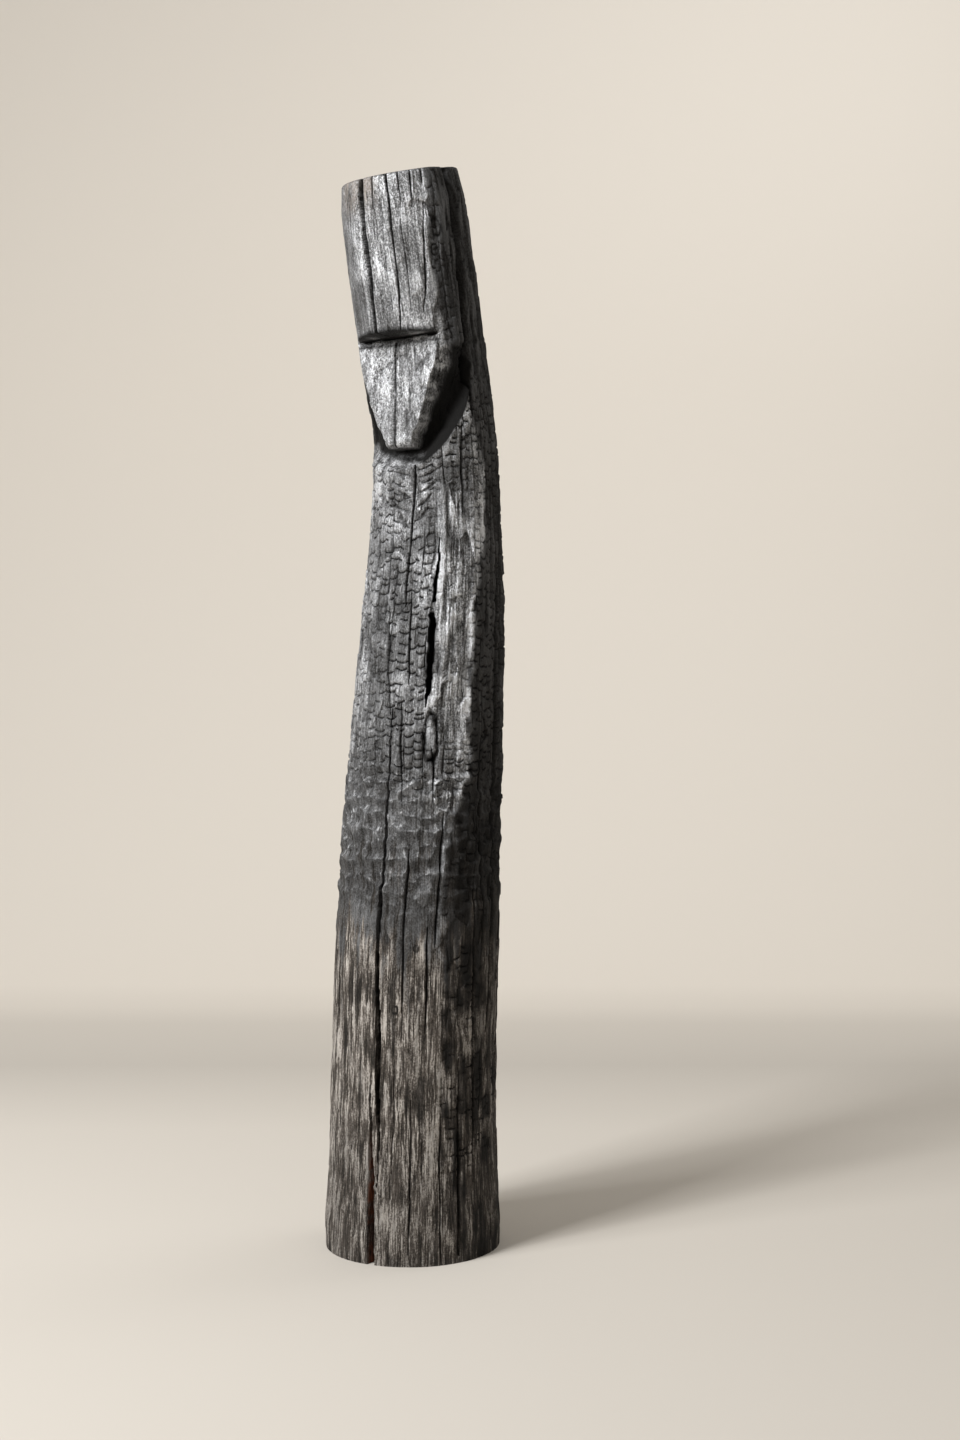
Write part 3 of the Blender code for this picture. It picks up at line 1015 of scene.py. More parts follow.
    def painted_slot_shade(self, on: Ground) -> Array:
        """Give the painted shade in the slot and on the brow's underside, wide enough to cover its steep
        walls.
        """
        y, below_brow = on.bare[..., 1], on.bare[..., 2] - self.brow_z
        slot = self.opened(on.radius.T, 12 * MM, self.row_step).T - on.radius
        slot = eased(4 * MM, 9 * MM, slot) * (np.abs(below_brow + 3 * MM) < 9 * MM)
        slot *= eased(-7 * MM, -4 * MM, below_brow) * (1 - on.over_face)
        # The brow's underside, behind the face, gets painted shade too.
        under = eased(5 * MM, 2 * MM, np.abs(below_brow)) * (on.beside < 0)
        slot = most(slot, 0.93 * under * eased(-3 * MM, -6 * MM, y - self.face_y))
        return most(slot, np.roll(slot, 1, axis=0))

    def zones(self, on: Ground) -> Zones:
        """Say where fire, tools and weather worked, and where shade is painted.

        Args:
            on: The skin before any relief.

        Returns:
            The zones.
        """
        at, s = on.at, on.at.share
        y, z = on.bare[..., 1], on.bare[..., 2]
        ragged = at.layered(70 * MM, 110 * MM, 3)
        head = eased(0.815, 0.86, s + 0.012 * ragged)

        # Painted shade in the hollow round the neck, where the head's shadow falls; the cheek's walls keep
        # little of it.
        collar = np.interp(at.azimuth, *self.collar)
        hollow = eased(collar - 0.002, collar + 0.004, s) * eased(0.875, 0.865, s)
        hollow = self.widened(hollow * eased(0.8 * MM, 3.5 * MM, on.scooped), 2)
        hollow *= (1 - on.on_face) * (1 - on.under_chin)
        cheek = eased(34 * MM, 16 * MM, y - self.face_y) * eased(14 * MM, 8 * MM, on.beside)
        hollow *= 1 - 0.85 * cheek * eased(-13 * MM, -9 * MM, z - self.chin_z)

        streaked = 0.045 * ragged + 0.040 * at.noise(8 * MM, 95 * MM, 67)
        weathered = eased(0.375, 0.235, s + streaked)
        weathered = most(weathered, 0.28 * eased(0.47, 0.37, s))

        past_arris = at.azimuth - np.interp(s, *self.arris) + 3 * at.noise(30 * MM, 60 * MM, 63)
        past_arris = past_arris + 4 * at.noise(13 * MM, 24 * MM, 65)
        # Painted shade on the side turned away from the lights, in ragged patches with lighter streaks.
        dark_side = eased(-7, 3, past_arris) * eased(160, 130, at.azimuth)
        bark = at.layered(26 * MM, 34 * MM, 64)
        shaded = dark_side * (0.42 + 0.42 * eased(-0.25, 0.3, bark))
        shaded *= 1 - 0.30 * eased(0.42, 0.50, s)
        shaded *= 1 - 0.65 * eased(0.05, 0.5, at.noise(6 * MM, 70 * MM, 66))

        gouged = eased(0.30, 0.355, s + 0.02 * ragged) * eased(0.475, 0.435, s + 0.02 * ragged)
        gouged *= 1 - 0.5 * at.near(180, 120)
        scar = at.near(51, 24) * eased(0.45, 0.50, s) * eased(0.735, 0.69, s)
        blocks = eased(0.39, 0.455, s + 0.02 * ragged) * (1 - head)
        blocks *= (1 - on.on_face) * (1 - 0.85 * hollow)
        blocks *= 1 - 0.35 * at.near(13, 22) * eased(0.655, 0.672, s)
        blocks *= 1 - 0.72 * scar
        blocks = most(blocks, 0.8 * dark_side * eased(-0.15, 0.2, bark) * eased(0.05, 0.10, s))
        return Zones(
            ragged,
            head,
            hollow,
            inside=eased(1 * MM, 4 * MM, on.sunk) * (1 - on.on_face),
            slot=self.painted_slot_shade(on),
            weathered=weathered,
            past_arris=past_arris,
            shaded=shaded,
            blocks=blocks,
            gouged=gouged,
            scar=scar,
            rough=at.near(82, 46) * eased(0.76, 0.83, s),
        )

    def cheek_relief(self, on: Ground) -> Relief:
        """Cut the scoops along the cheek's edge.

        Args:
            on: The skin before any relief.

        Returns:
            The scoops' relief, with the ridges round them as its crest, which gets a painted highlight.
        """
        x, y = on.bare[..., 0], on.bare[..., 1]
        elsewhere = 9 * (x < self.face_x) + 9 * (y - self.face_y > 45 * MM)
        scoops = np.zeros(x.shape)
        ridges = np.zeros(x.shape)
        for way_down, out_by, wide, tall in self.cheek_scoops:
            across = (on.beside - out_by) / wide
            along = (on.down - way_down) * (self.brow_z - self.chin_z) / tall
            away = np.hypot(across, along) + elsewhere
            scoops = most(scoops, np.clip(1 - away**2, 0, 1))
            ridges = most(ridges, bell(away - 1, 0.13))
        ridges *= 1 - np.clip(3 * scoops, 0, 1)
        return Relief(-self.scoop_depth * scoops, np.zeros(x.shape), ridges)

    def grain_relief(self, on: Ground, zones: Zones) -> Relief:
        """Raise the fibres and cut the furrows and the flat strokes between them.

        Args:
            on: The skin before any relief.
            zones: Where fire, tools and weather worked, and where shade is painted.

        Returns:
            The relief all over the grid.
        """
        at, s = on.at, on.at.share
        open_grain = 1 - 0.7 * zones.gouged
        furrow = 1 - np.abs(at.noise(7.5 * MM, 85 * MM, 31, shift=2 * MM * zones.ragged))
        fibre = at.noise(3.2 * MM, 60 * MM, 33)
        lengthwise = (0.30 + 1.1 * zones.weathered) * open_grain + 2.5 * zones.scar - 0.12 * on.on_face
        rise = 2.3 * MM * at.noise(11 * MM, 75 * MM, 35) * zones.scar
        rise += (0.75 * (furrow - 0.55) + 0.35 * fibre) * MM * lengthwise
        streaky = 0.55 * zones.weathered * open_grain + 0.65 * zones.scar + 0.5 * zones.rough
        hewn = (0.5 + 0.5 * eased(0.26, 0.33, s)) * (1 - 0.6 * on.on_face) * (1 - 0.6 * zones.gouged)
        hewn *= 1 - 0.6 * zones.head * (1 - zones.rough)
        rise += self.facets.relief(at) * hewn
        rise += 2.3 * MM * at.noise(10 * MM, 34 * MM, 87) * (zones.rough + 0.25 * zones.weathered)
        rise += 0.9 * MM * at.layered(95 * MM, 150 * MM, 41, 2) * (1 - 0.8 * on.on_face)
        rise += 0.5 * MM * at.noise(26 * MM, 42 * MM, 43) * (1 - 0.85 * on.on_face)
        rise += HewnFacets(19 * MM, 27 * MM, 0.10, 97).relief(at) * on.on_face
        rise += 0.22 * MM * at.noise(3 * MM, 4 * MM, 45)
        # Furrows are darkened: sooty black and painted shade.
        return Relief(rise, eased(0.45, 0.1, furrow) * streaky)

    def all_relief(self, on: Ground, zones: Zones, gouges: Relief) -> Relief:
        """Cut every kind of mark, and wear the rims of the cut ends.

        Args:
            on: The skin before any relief.
            zones: Where fire, tools and weather worked, and where shade is painted.
            gouges: The gouge's marks all over the grid.

        Returns:
            The whole relief, with the ridges between the cheek's scoops as its crest.
        """
        at, s, z = on.at, on.at.share, on.at.height
        patchy = 0.62 + 0.38 * eased(-0.5, 0.2, at.noise(85 * MM, 120 * MM, 21))
        blocks = self.blocks.relief(at)
        fine = CharBlocks(8 * MM, 9 * MM, 0.5 * MM, 1.0 * MM, 0.9 * MM, 0.2, 53).relief(at)
        fine_amount = 0.35 * zones.blocks * eased(0.1, 0.6, at.noise(60 * MM, 60 * MM, 23))
        grain = self.grain_relief(on, zones)
        cheek = self.cheek_relief(on)
        rise = blocks.rise * (zones.blocks * patchy) + gouges.rise * zones.gouged
        rise += fine.rise * fine_amount + grain.rise + cheek.rise

        # A groove along the face's upper edge, with a painted shadow line in it.
        edge = bell(on.above + 1.0 * MM * at.noise(14 * MM, 20 * MM, 46), 2.6 * MM) * (on.beside < 0)
        rise -= 1.2 * MM * edge
        # Sooty black and painted shade: cracks between blocks, under the gouges' lips, in furrows, the
        # shadow line at the face's edge and the bevel under the brow; also darker towards the foot.
        soot = most(
            blocks.soot * (zones.blocks * patchy),
            gouges.soot * zones.gouged,
            fine.soot * fine_amount * 1.4,
            grain.soot,
            0.95 * edge * (np.abs(on.bare[..., 1] - self.face_y) < 5 * MM),
            0.22 * on.over_face,
            0.24 * eased(0.17, 0.05, s + 0.03 * zones.ragged),
        )

        band = eased(52, 56, at.azimuth) * eased(70, 66, at.azimuth)
        band *= eased(0.415, 0.43, s) * eased(0.515, 0.50, s)
        ripple = np.abs(((z + 2 * MM * zones.ragged) / (9 * MM)) % 1 - 0.5) * 2
        rise -= 1.2 * MM * band * (1 - ripple) ** 2
        for marks in (self.crack_relief(at, on.radius), self.knot_relief(at)):
            rise += marks.rise
            soot = most(soot, marks.soot)

        rise *= 1 - 0.8 * zones.inside
        ends = eased(0, 5 * MM, np.minimum(z, self.axis.height - z))
        rise *= 0.25 + 0.75 * ends
        rise = np.minimum(rise, self.proudest)
        near_top = np.clip(1 - (self.axis.height - z) / self.round_top, 0, 1)
        rise -= self.round_top * (1 - np.sqrt(1 - near_top**2))
        return Relief(rise, soot, cheek.crest)

    def finishes(self, on: Ground, zones: Zones, gouges: Relief, cut: Relief) -> dict[Finish, Array]:
        """Give what each point carries for its finish.

        Args:
            on: The skin before any relief.
            zones: Where fire, tools and weather worked, and where shade is painted.
            gouges: The gouge's marks all over the grid.
            cut: The whole relief.

        Returns:
            The values of each kind.
        """
        at, s = on.at, on.at.share
        gouged, past_arris = zones.gouged, zones.past_arris
        foot_gap = at.near(5.0, 7.0) * eased(0.13, 0.10, s) * eased(1 * MM, 4 * MM, on.sunk)
        raw = foot_gap * eased(8.2, 5.8, at.azimuth)
        # A painted highlight along the arris, the lit edge where the front turns into the side.
        arris = bell(past_arris + 5, 3.5) * eased(0.24, 0.28, s) * eased(0.74, 0.72, s)
        # Ridges are rubbed lighter; the gouges' lower lips, the arris and the cheek's crests also get
        # painted highlights.
        worn = eased(-0.8 * MM, 1.2 * MM, cut.rise - 0.75 * gouges.rise * gouged)
        worn = most(worn * (1 - 0.5 * gouged), gouges.crest * gouged, arris, 0.9 * cut.crest)
        streaks = 0.5 + 0.9 * at.noise(4.5 * MM, 70 * MM, 36)
        worn += (np.clip(streaks, 0, 1) - worn) * 0.75 * on.on_face

        # The char's shine: brushing, and painted sheen, strong on the lit front and weak past the arris on
        # the shaded side.
        brushed = eased(3, -9, past_arris) * eased(-105, -60, at.azimuth)
        # Painted sheen on the strip beside the crevice, which the light would catch were it turned more to
        # the front.
        turned = at.near(58, 30) * eased(0.38, 0.45, s) * eased(0.73, 0.66, s)
        left_of_head = eased(-10, -24, at.azimuth) * eased(0.86, 0.88, s)
        brushed = 0.26 + 0.74 * brushed * (1 + 0.75 * turned - 0.5 * left_of_head)
        brushed += 0.5 * arris + 0.4 * cut.crest
        brushed *= np.interp(s, *self.shine_up_the_log) * (1 + 0.6 * gouges.crest * gouged)
        # Painted shade in the relief's deep hollows, outside the gouges.
        deep = 0.6 * eased(-0.8 * MM, -3.2 * MM, cut.rise) * (1 - gouged)
        # Painted shade in the neck's hollow, the slot and under the brow, on the dark side and in crevices.
        hidden = (zones.hollow, zones.slot, zones.shaded, zones.inside * (1 - raw))
        return {
            Finish.BURN: 1 - zones.weathered,
            Finish.SOOT_AND_SHADE: most(cut.soot, deep, *hidden),
            Finish.WORN_AND_HIGHLIT: worn,
            Finish.BRUSHED_AND_PAINTED_SHEEN: brushed,
            Finish.RAW: raw,
            Finish.RUBBED: at.near(-16, 34) * eased(0.962, 0.992, s),
            Finish.END_GRAIN: np.zeros(s.shape),
        }

    def opened(self, radius: Array, span: float, step: float) -> Array:
        """Bridge narrow gaps between columns.

        Args:
            radius: Distance of the surface from the centre line.
            span: Half the widest gap that is bridged.
            step: Distance between columns.

        Returns:
            The bridged radii.
        """
        bridged = radius
        for pick in (np.maximum, np.minimum):
            found = bridged.copy()
            for shift in range(1, round(span / step) + 1):
                for way in (-shift, shift):
                    found = pick(found, np.roll(bridged, way, axis=1))
            bridged = found
        return bridged

    def widened(self, mask: Array, cells: int) -> Array:
        """Spread a mask over its neighbours, so that steep walls beside it are covered.

        Args:
            mask: From 0 to 1 all over the grid.
            cells: How many cells it grows by, each way.

        Returns:
            The wider mask.
        """
        for axis in (0, 1):
            shifts = range(-cells, cells + 1)
            mask = np.max([np.roll(mask, shift, axis) for shift in shifts], axis=0)
        return mask

    def cap(self, rim: Array, centre: Array, up: Array, azimuths: Array, seed: int) -> tuple[Array, Array]:
        """Make the rings of a sawn end, from just inside its rim to its middle.

        Args:
            rim: The rim's points.
            centre: The end's middle.
            up: Direction out of the end.
            azimuths: One azimuth for each column.
            seed: Which radial checks; 0 leaves the end flat.

        Returns:
            Rings of points, and how dark each is painted: sooty black and painted shade in the checks.
        """
        rings = round(self.end_radius / self.cap_step)
        shares = 1 - (np.arange(1, rings) / rings)
        out = rim - centre
        rng = np.random.default_rng(seed)
        down = np.zeros((len(shares), len(azimuths)))
        soot = np.zeros(down.shape)
        if seed:
            reach = np.linalg.norm(out, axis=1)[None, :] * shares[:, None]
            down += 0.35 * MM * np.sin(reach * 2 * math.pi / self.ring_gap)
            for _ in range(self.checks):
                azimuth, inner = rng.uniform(-180, 180), rng.uniform(0.05, 0.7)
                wide = rng.uniform(0.5, 1.5) * MM
                away = np.abs(signed(azimuths - azimuth))[None, :] * math.pi / 180
                along = eased(inner, inner + 0.35, shares)[:, None]
                cut = bell(away * reach, np.maximum(wide * along, 0.35 * MM)) * along
                down -= self.check_depth * cut
                # The checks are painted dark: sooty black and painted shade.
                soot = np.maximum(soot, cut)
        points = centre + out[None] * shares[:, None, None] + up * np.minimum(down, 0.2 * MM)[..., None]
        return points, soot

    def build(self, solid: bpy.types.Object) -> bpy.types.Object:
        """Make the skin as one closed mesh that carries its finish.

        Args:
            solid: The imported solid.

        Returns:
            The new piece.
        """
        on = self.ground(solid)
        zones = self.zones(on)
        gouges = self.gouges.relief(on.at)
        cut = self.all_relief(on, zones, gouges)
        points = on.centres + on.out * (on.radius + cut.rise)[..., None]
        rows, columns = points.shape[:2]
        azimuths = on.at.azimuth[0]
        top_up = np.cross(points[-1, 0] - points[-1, columns // 2], points[-1, columns // 4] - points[-1, 0])
        top_up /= np.linalg.norm(top_up)
        top_up *= math.copysign(1, top_up[2])
        ends = self.axis.centres(np.array([0.0, 1.0]))
        foot, foot_soot_and_shade = self.cap(points[0], ends[0], np.array([0, 0, -1.0]), azimuths, 0)
        top, top_soot_and_shade = self.cap(points[-1], ends[1], top_up, azimuths, 29)
        grid = np.concatenate([foot[::-1], points, top])
        carried = {
            kind: np.concatenate([np.zeros(foot.shape[:2]), values, np.zeros(top.shape[:2])])
            for kind, values in self.finishes(on, zones, gouges, cut).items()
        }
        on_foot, on_top = slice(0, len(foot)), slice(len(foot) + rows, None)
        carried[Finish.SOOT_AND_SHADE][on_foot] = foot_soot_and_shade[::-1]
        carried[Finish.SOOT_AND_SHADE][on_top] = top_soot_and_shade
        carried[Finish.BURN][on_top] = 1
        for sawn in (on_foot, on_top):
            carried[Finish.END_GRAIN][sawn] = 1
        tall = self.axis.height
        heights = np.concatenate([np.zeros(len(foot)), on.at.height[:, 0], np.full(len(top), tall)])
        caps = [np.linalg.norm(rings - end, axis=2) for rings, end in zip((foot[::-1], top), ends)]
        mean = np.concatenate([caps[0], on.radius, caps[1]])
        turn = np.radians(azimuths)
        straight = np.stack(
            [
                mean * np.sin(turn),
                -mean * np.cos(turn),
                np.broadcast_to(heights[:, None], mean.shape),
            ],
            axis=2,
        )
        made = self.mesh(grid, ends, straight, carried)
        LOG.info("skin of %d rows and %d columns", *grid.shape[:2])
        return self.thinned(made)

    def mesh(
        self, grid: Array, ends: Array, straight: Array, carried: dict[Finish, Array]
    ) -> bpy.types.Object:
        """Join rows and columns of points into a closed mesh with two middle points.

        Args:
            grid: Points in rows and columns, from the foot's middle to the top's.
            ends: The two middle points.
            straight: The points' places in the log, were it straight.
            carried: What each point carries for its finish.

        Returns:
            The dense piece.
        """
        rows, columns = grid.shape[:2]
        corners = np.concatenate([grid.reshape(-1, 3), ends])
        first, last = rows * columns, rows * columns + 1
        low = np.arange((rows - 1) * columns).reshape(rows - 1, columns)
        right = np.roll(low, -1, axis=1)
        quads = np.stack([low, right, right + columns, low + columns], axis=2).reshape(-1, 4)
        ring = np.arange(columns)
        after = np.roll(ring, -1)
        foot = np.stack([after, ring, np.full(columns, first)], axis=1)
        upper = (rows - 1) * columns
        top = np.stack([upper + ring, upper + after, np.full(columns, last)], axis=1)
        mesh = bpy.data.meshes.new("charred_log")
        loops = np.concatenate([quads.ravel(), foot.ravel(), top.ravel()])
        sizes = np.concatenate([np.full(len(quads), 4), np.full(2 * columns, 3)])
        mesh.vertices.add(len(corners))
        mesh.vertices.foreach_set("co", corners.astype(np.float32).ravel())
        mesh.loops.add(len(loops))
        mesh.loops.foreach_set("vertex_index", loops.astype(np.int32))
        mesh.polygons.add(len(sizes))
        mesh.polygons.foreach_set("loop_start", (np.cumsum(sizes) - sizes).astype(np.int32))
        mesh.update(calc_edges=True)
        mesh.validate()
        for kind, values in carried.items():
            layer = mesh.attributes.new(kind.value, "FLOAT", "POINT")
            layer.data.foreach_set("value", np.append(values.ravel(), values[[0, -1], 0]).astype(np.float32))
        layer = mesh.attributes.new("log_place", "FLOAT_VECTOR", "POINT")
        middles = np.array([[0, 0, 0], [0, 0, self.axis.height]])
        placed = np.concatenate([straight.reshape(-1, 3), middles])
        layer.data.foreach_set("vector", placed.astype(np.float32).ravel())
        return put("charred_log", mesh)

    def thinned(self, dense: bpy.types.Object) -> bpy.types.Object:
        """Collapse the flatter faces until the piece has few enough triangles.

        Args:
            dense: The dense piece, which is used up.

        Returns:
            The lighter piece.
        """
        triangles = sum(p.loop_total - 2 for p in dense.data.polygons)
        fewer = dense.modifiers.new("thinned", "DECIMATE")
        fewer.ratio = self.most_triangles / triangles
        fewer.use_collapse_triangulate = True
        graph = bpy.context.evaluated_depsgraph_get()
        mesh = bpy.data.meshes.new_from_object(
            dense.evaluated_get(graph), preserve_all_data_layers=True, depsgraph=graph
        )
        heavy = dense.data
        dense.modifiers.clear()
        dense.data = mesh
        bpy.data.meshes.remove(heavy)
        mesh.name = "charred_log"
        mesh.shade_smooth()
        mesh.set_sharp_from_angle(angle=math.radians(55))
        LOG.info("%d triangles thinned to %d", triangles, len(mesh.polygons))
        return dense


def add_node(
    tree: bpy.types.NodeTree,
    kind: str,
    links: dict[str | int, object] | None = None,
    ramp: tuple[tuple[float, str], ...] = (),
    **settings: object,
) -> bpy.types.Node:
    """Add a node with its settings, values and links.

    Args:
        tree: Where it goes.
        kind: Blender's name for the kind of node.
        links: Input name or index, and the value or the output that it takes.
        ramp: Stops of a colour ramp: place and sRGB hex colour.
        settings: The node's own settings.

    Returns:
        The new node.
    """
    node = tree.nodes.new(kind)
    for name, value in settings.items():
        setattr(node, name, value)
    for place, (position, colour) in enumerate(ramp):
        stops = node.color_ramp.elements
        stop = stops[place] if place < 2 else stops.new(position)
        stop.position, stop.color = position, linear(colour)
    for name, value in (links or {}).items():
        if isinstance(value, bpy.types.NodeSocket):
            tree.links.new(value, node.inputs[name])
        else:
            node.inputs[name].default_value = value
    return node


@dataclass(frozen=True)
class CharredWood:
    """Hardwood burnt over open fire, given a brushing, and left to weather at the foot.

    Char is nearly black but its face is graphite-smooth, so soft light lies on it as a silver sheen; below,
    the fire only browned the wood and rain has greyed its fibres. Part of that sheen, and shade in cracks,
    hollows and on the side away from the lights, is painted into the colour.

    Attributes:
        soot: Sooty black and painted shade in cracks, hollows, under the brow and on the dark side.
        char_dark: Char where it shines least: in the hollows of its face, and under painted shade on the
            dark side.
        char_mid: Char's open face.
        char_light: Graphite where it shines most: rubbed ridges, and painted highlights and sheen.
        weathered_dark: Scorched patches low down, and greyed wood under painted shade.
        weathered_mid: Greyed wood.
        weathered_light: Raised, bleached fibres.
        raw_dark: Unburnt heartwood in shade.
        raw_light: Unburnt heartwood.
        rubbed: Scorched wood showing through at the rim of the top cut.
        dullness: Roughness where nothing shines.
        glint: Specular level; soot and dry fibre return less than a smooth face would.
        polish: How much smoother the brightest graphite is.
        sheen: How metallic the brightest graphite looks.
        fibre: Width of a wood fibre bundle as it shows.
        speck: Size of the glints on the char.
        ring: Sets how far apart the colours of the growth rings lie.
    """

    soot: str = "#0b0a09"
    char_dark: str = "#211e1b"
    char_mid: str = "#858688"
    char_light: str = "#eceef2"
    weathered_dark: str = "#26231f"
    weathered_mid: str = "#605953"
    weathered_light: str = "#c6c0b9"
    raw_dark: str = "#3a1d13"
    raw_light: str = "#8a5138"
    rubbed: str = "#948a81"
    dullness: float = 0.78
    polish: float = 0.32
    glint: float = 0.22
    sheen: float = 0.90
    fibre: float = 2.3 * MM
    speck: float = 2.4 * MM
    ring: float = 4 * MM

    def material(self) -> bpy.types.Material:
        """Make the material from the values that the skin carries."""
        made = bpy.data.materials.new("charred_weathered_wood")
        made.use_nodes = True
        tree = made.node_tree
        tree.nodes.clear()
        out = add_node(tree, "ShaderNodeOutputMaterial")

        def made_by(kind: str, links: dict, output: str | int = 0, **settings: object) -> Socket:
            """Add a node, and give one of its outputs."""
            return add_node(tree, kind, links, **settings).outputs[output]

        place = made_by("ShaderNodeAttribute", {}, "Vector", attribute_name="log_place")
        carried = {
            kind: made_by("ShaderNodeAttribute", {}, "Fac", attribute_name=kind.value) for kind in Finish
        }

        def stretched(size: float, length: float, detail: float, roughness: float) -> Socket:
            """Give noise of a real size across the grain and a length along it."""
            scale = (1 / size, 1 / size, 1 / length)
            scaled = made_by("ShaderNodeMapping", {"Vector": place, "Scale": scale})
            links = {"Vector": scaled, "Scale": 1.0, "Detail": detail, "Roughness": roughness}
            return made_by("ShaderNodeTexNoise", links, "Fac")

        def sharpened(value: Socket, low: float, high: float) -> Socket:
            """Stretch a value's middle range to run from 0 to 1."""
            links = {"Value": value, "From Min": low, "From Max": high}
            return made_by("ShaderNodeMapRange", links, "Result", interpolation_type="SMOOTHSTEP")

        def combined(how: str, first: object, second: object) -> Socket:
            """Join two numbers."""
            return made_by("ShaderNodeMath", {0: first, 1: second}, operation=how, use_clamp=True)

        def mixed(amount: object, first: object, second: object) -> Socket:
            """Go from the first colour to the second."""
            return made_by("ShaderNodeMix", {0: amount, 6: first, 7: second}, 2, data_type="RGBA")

        def weighed(*terms: tuple[Socket, float]) -> Socket:
            """Add values, each times its weight, and keep the sum from 0 to 1."""
            total: object = 0.0
            for value, weight in terms:
                links = {0: value, 1: weight, 2: total}
                last = value is terms[-1][0]
                total = made_by("ShaderNodeMath", links, operation="MULTIPLY_ADD", use_clamp=last)
            return total

        fibres = sharpened(stretched(self.fibre, 48 * MM, 5, 0.68), 0.40, 0.60)
        broad = sharpened(stretched(7.5 * MM, 120 * MM, 5, 0.62), 0.40, 0.60)
        specks = sharpened(stretched(self.speck, 3.2 * MM, 4, 0.72), 0.40, 0.64)
        patches = sharpened(stretched(15 * MM, 75 * MM, 6, 0.66), 0.42, 0.58)
        clouds = sharpened(stretched(62 * MM, 90 * MM, 4, 0.55), 0.38, 0.62)

        burn = sharpened(
            weighed((carried[Finish.BURN], 0.80), (patches, 0.34), (fibres, 0.14), (broad, 0.16)),
            0.40,
            0.86,
        )
        open_wood = combined("SUBTRACT", 1.0, carried[Finish.SOOT_AND_SHADE])
        # Shine picks the char's colour from dark to light graphite; through wear and brushing it carries
        # painted highlights and sheen.
        shine = weighed((specks, 0.44), (fibres, 0.26), (broad, 0.18), (carried[Finish.WORN_AND_HIGHLIT], 0.34))
        shine = combined("MULTIPLY", shine, weighed((clouds, 0.34), (burn, 0.66)))
        shine = combined("MULTIPLY", shine, carried[Finish.BRUSHED_AND_PAINTED_SHEEN])
        ramp = ((0.02, self.char_dark), (0.95, self.char_light), (0.45, self.char_mid))
        char = made_by("ShaderNodeValToRGB", {"Fac": shine}, "Color", ramp=ramp)
        # The weathered grey darkens under sooty black and painted shade.
        grey = weighed((fibres, 0.50), (broad, 0.30), (specks, 0.26), (carried[Finish.WORN_AND_HIGHLIT], 0.14))
        grey = combined("MULTIPLY", grey, weighed((patches, 0.30), (clouds, 0.20), (open_wood, 0.54)))
        ramp = ((0.12, self.weathered_dark), (0.70, self.weathered_light), (0.40, self.weathered_mid))
        weathered = made_by("ShaderNodeValToRGB", {"Fac": grey}, "Color", ramp=ramp)

        raw = mixed(fibres, linear(self.raw_dark), linear(self.raw_light))
        links = {"Vector": place, "Scale": 1 / self.ring / 6, "Distortion": 1.6, "Detail": 2.0}
        rings = made_by("ShaderNodeTexWave", links, "Fac", wave_type="RINGS", rings_direction="Z")
        sawn = weighed((rings, 0.14), (specks, 0.20), (clouds, 0.16))
        sawn = mixed(sawn, linear(self.char_dark), linear(self.char_mid))
        colour = mixed(burn, weathered, char)
        rubbed = combined("MULTIPLY", carried[Finish.RUBBED], weighed((fibres, 0.5), (broad, 0.5)))
        colour = mixed(rubbed, colour, linear(self.rubbed))
        colour = mixed(carried[Finish.END_GRAIN], colour, sawn)
        # Sooty black and painted shade take the colour to near black.
        colour = mixed(carried[Finish.SOOT_AND_SHADE], colour, linear(self.soot))
        colour = mixed(carried[Finish.RAW], colour, raw)

        bright = combined("MULTIPLY", combined("MULTIPLY", burn, open_wood), combined("POWER", shine, 0.6))
        roughness = combined("SUBTRACT", self.dullness, combined("MULTIPLY", bright, self.polish))
        metal = combined("MULTIPLY", bright, self.sheen)
        grain = made_by("ShaderNodeBump", {"Height": fibres, "Strength": 0.7, "Distance": 0.7 * MM})
        links = {"Height": specks, "Strength": 0.7, "Distance": 0.6 * MM, "Normal": grain}
        links = {
            "Base Color": colour,
            "Roughness": roughness,
            "Metallic": metal,
            "Normal": made_by("ShaderNodeBump", links),
            "Specular IOR Level": self.glint,
        }
        tree.links.new(made_by("ShaderNodeBsdfPrincipled", links), out.inputs["Surface"])
        return made


@dataclass
class CharredFigure:
    """The figure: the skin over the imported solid, and its finish."""

    skin: FigureSkin = field(default_factory=FigureSkin)
    finish: CharredWood = field(default_factory=CharredWood)

    def build(self, frame: dict) -> bpy.types.Object:
        """Make the figure's one piece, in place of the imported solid.


        Returns:
            The piece.
        """
        piece = self.skin.build(frame["nodes"]["wooden_figure"])
        piece.data.materials.append(self.finish.material())
        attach(piece, "root")
        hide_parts("wooden_figure")
        return piece


@dataclass(frozen=True)
class Softbox:
    """A square light aimed at the figure.

    Attributes:
        azimuth: Where it stands round the figure.
        elevation: How high, in degrees.
        distance: Its distance.
        size: Its side.
        power: Its power in watts.
    """

    azimuth: float
    elevation: float
    distance: float
    size: float
    power: float


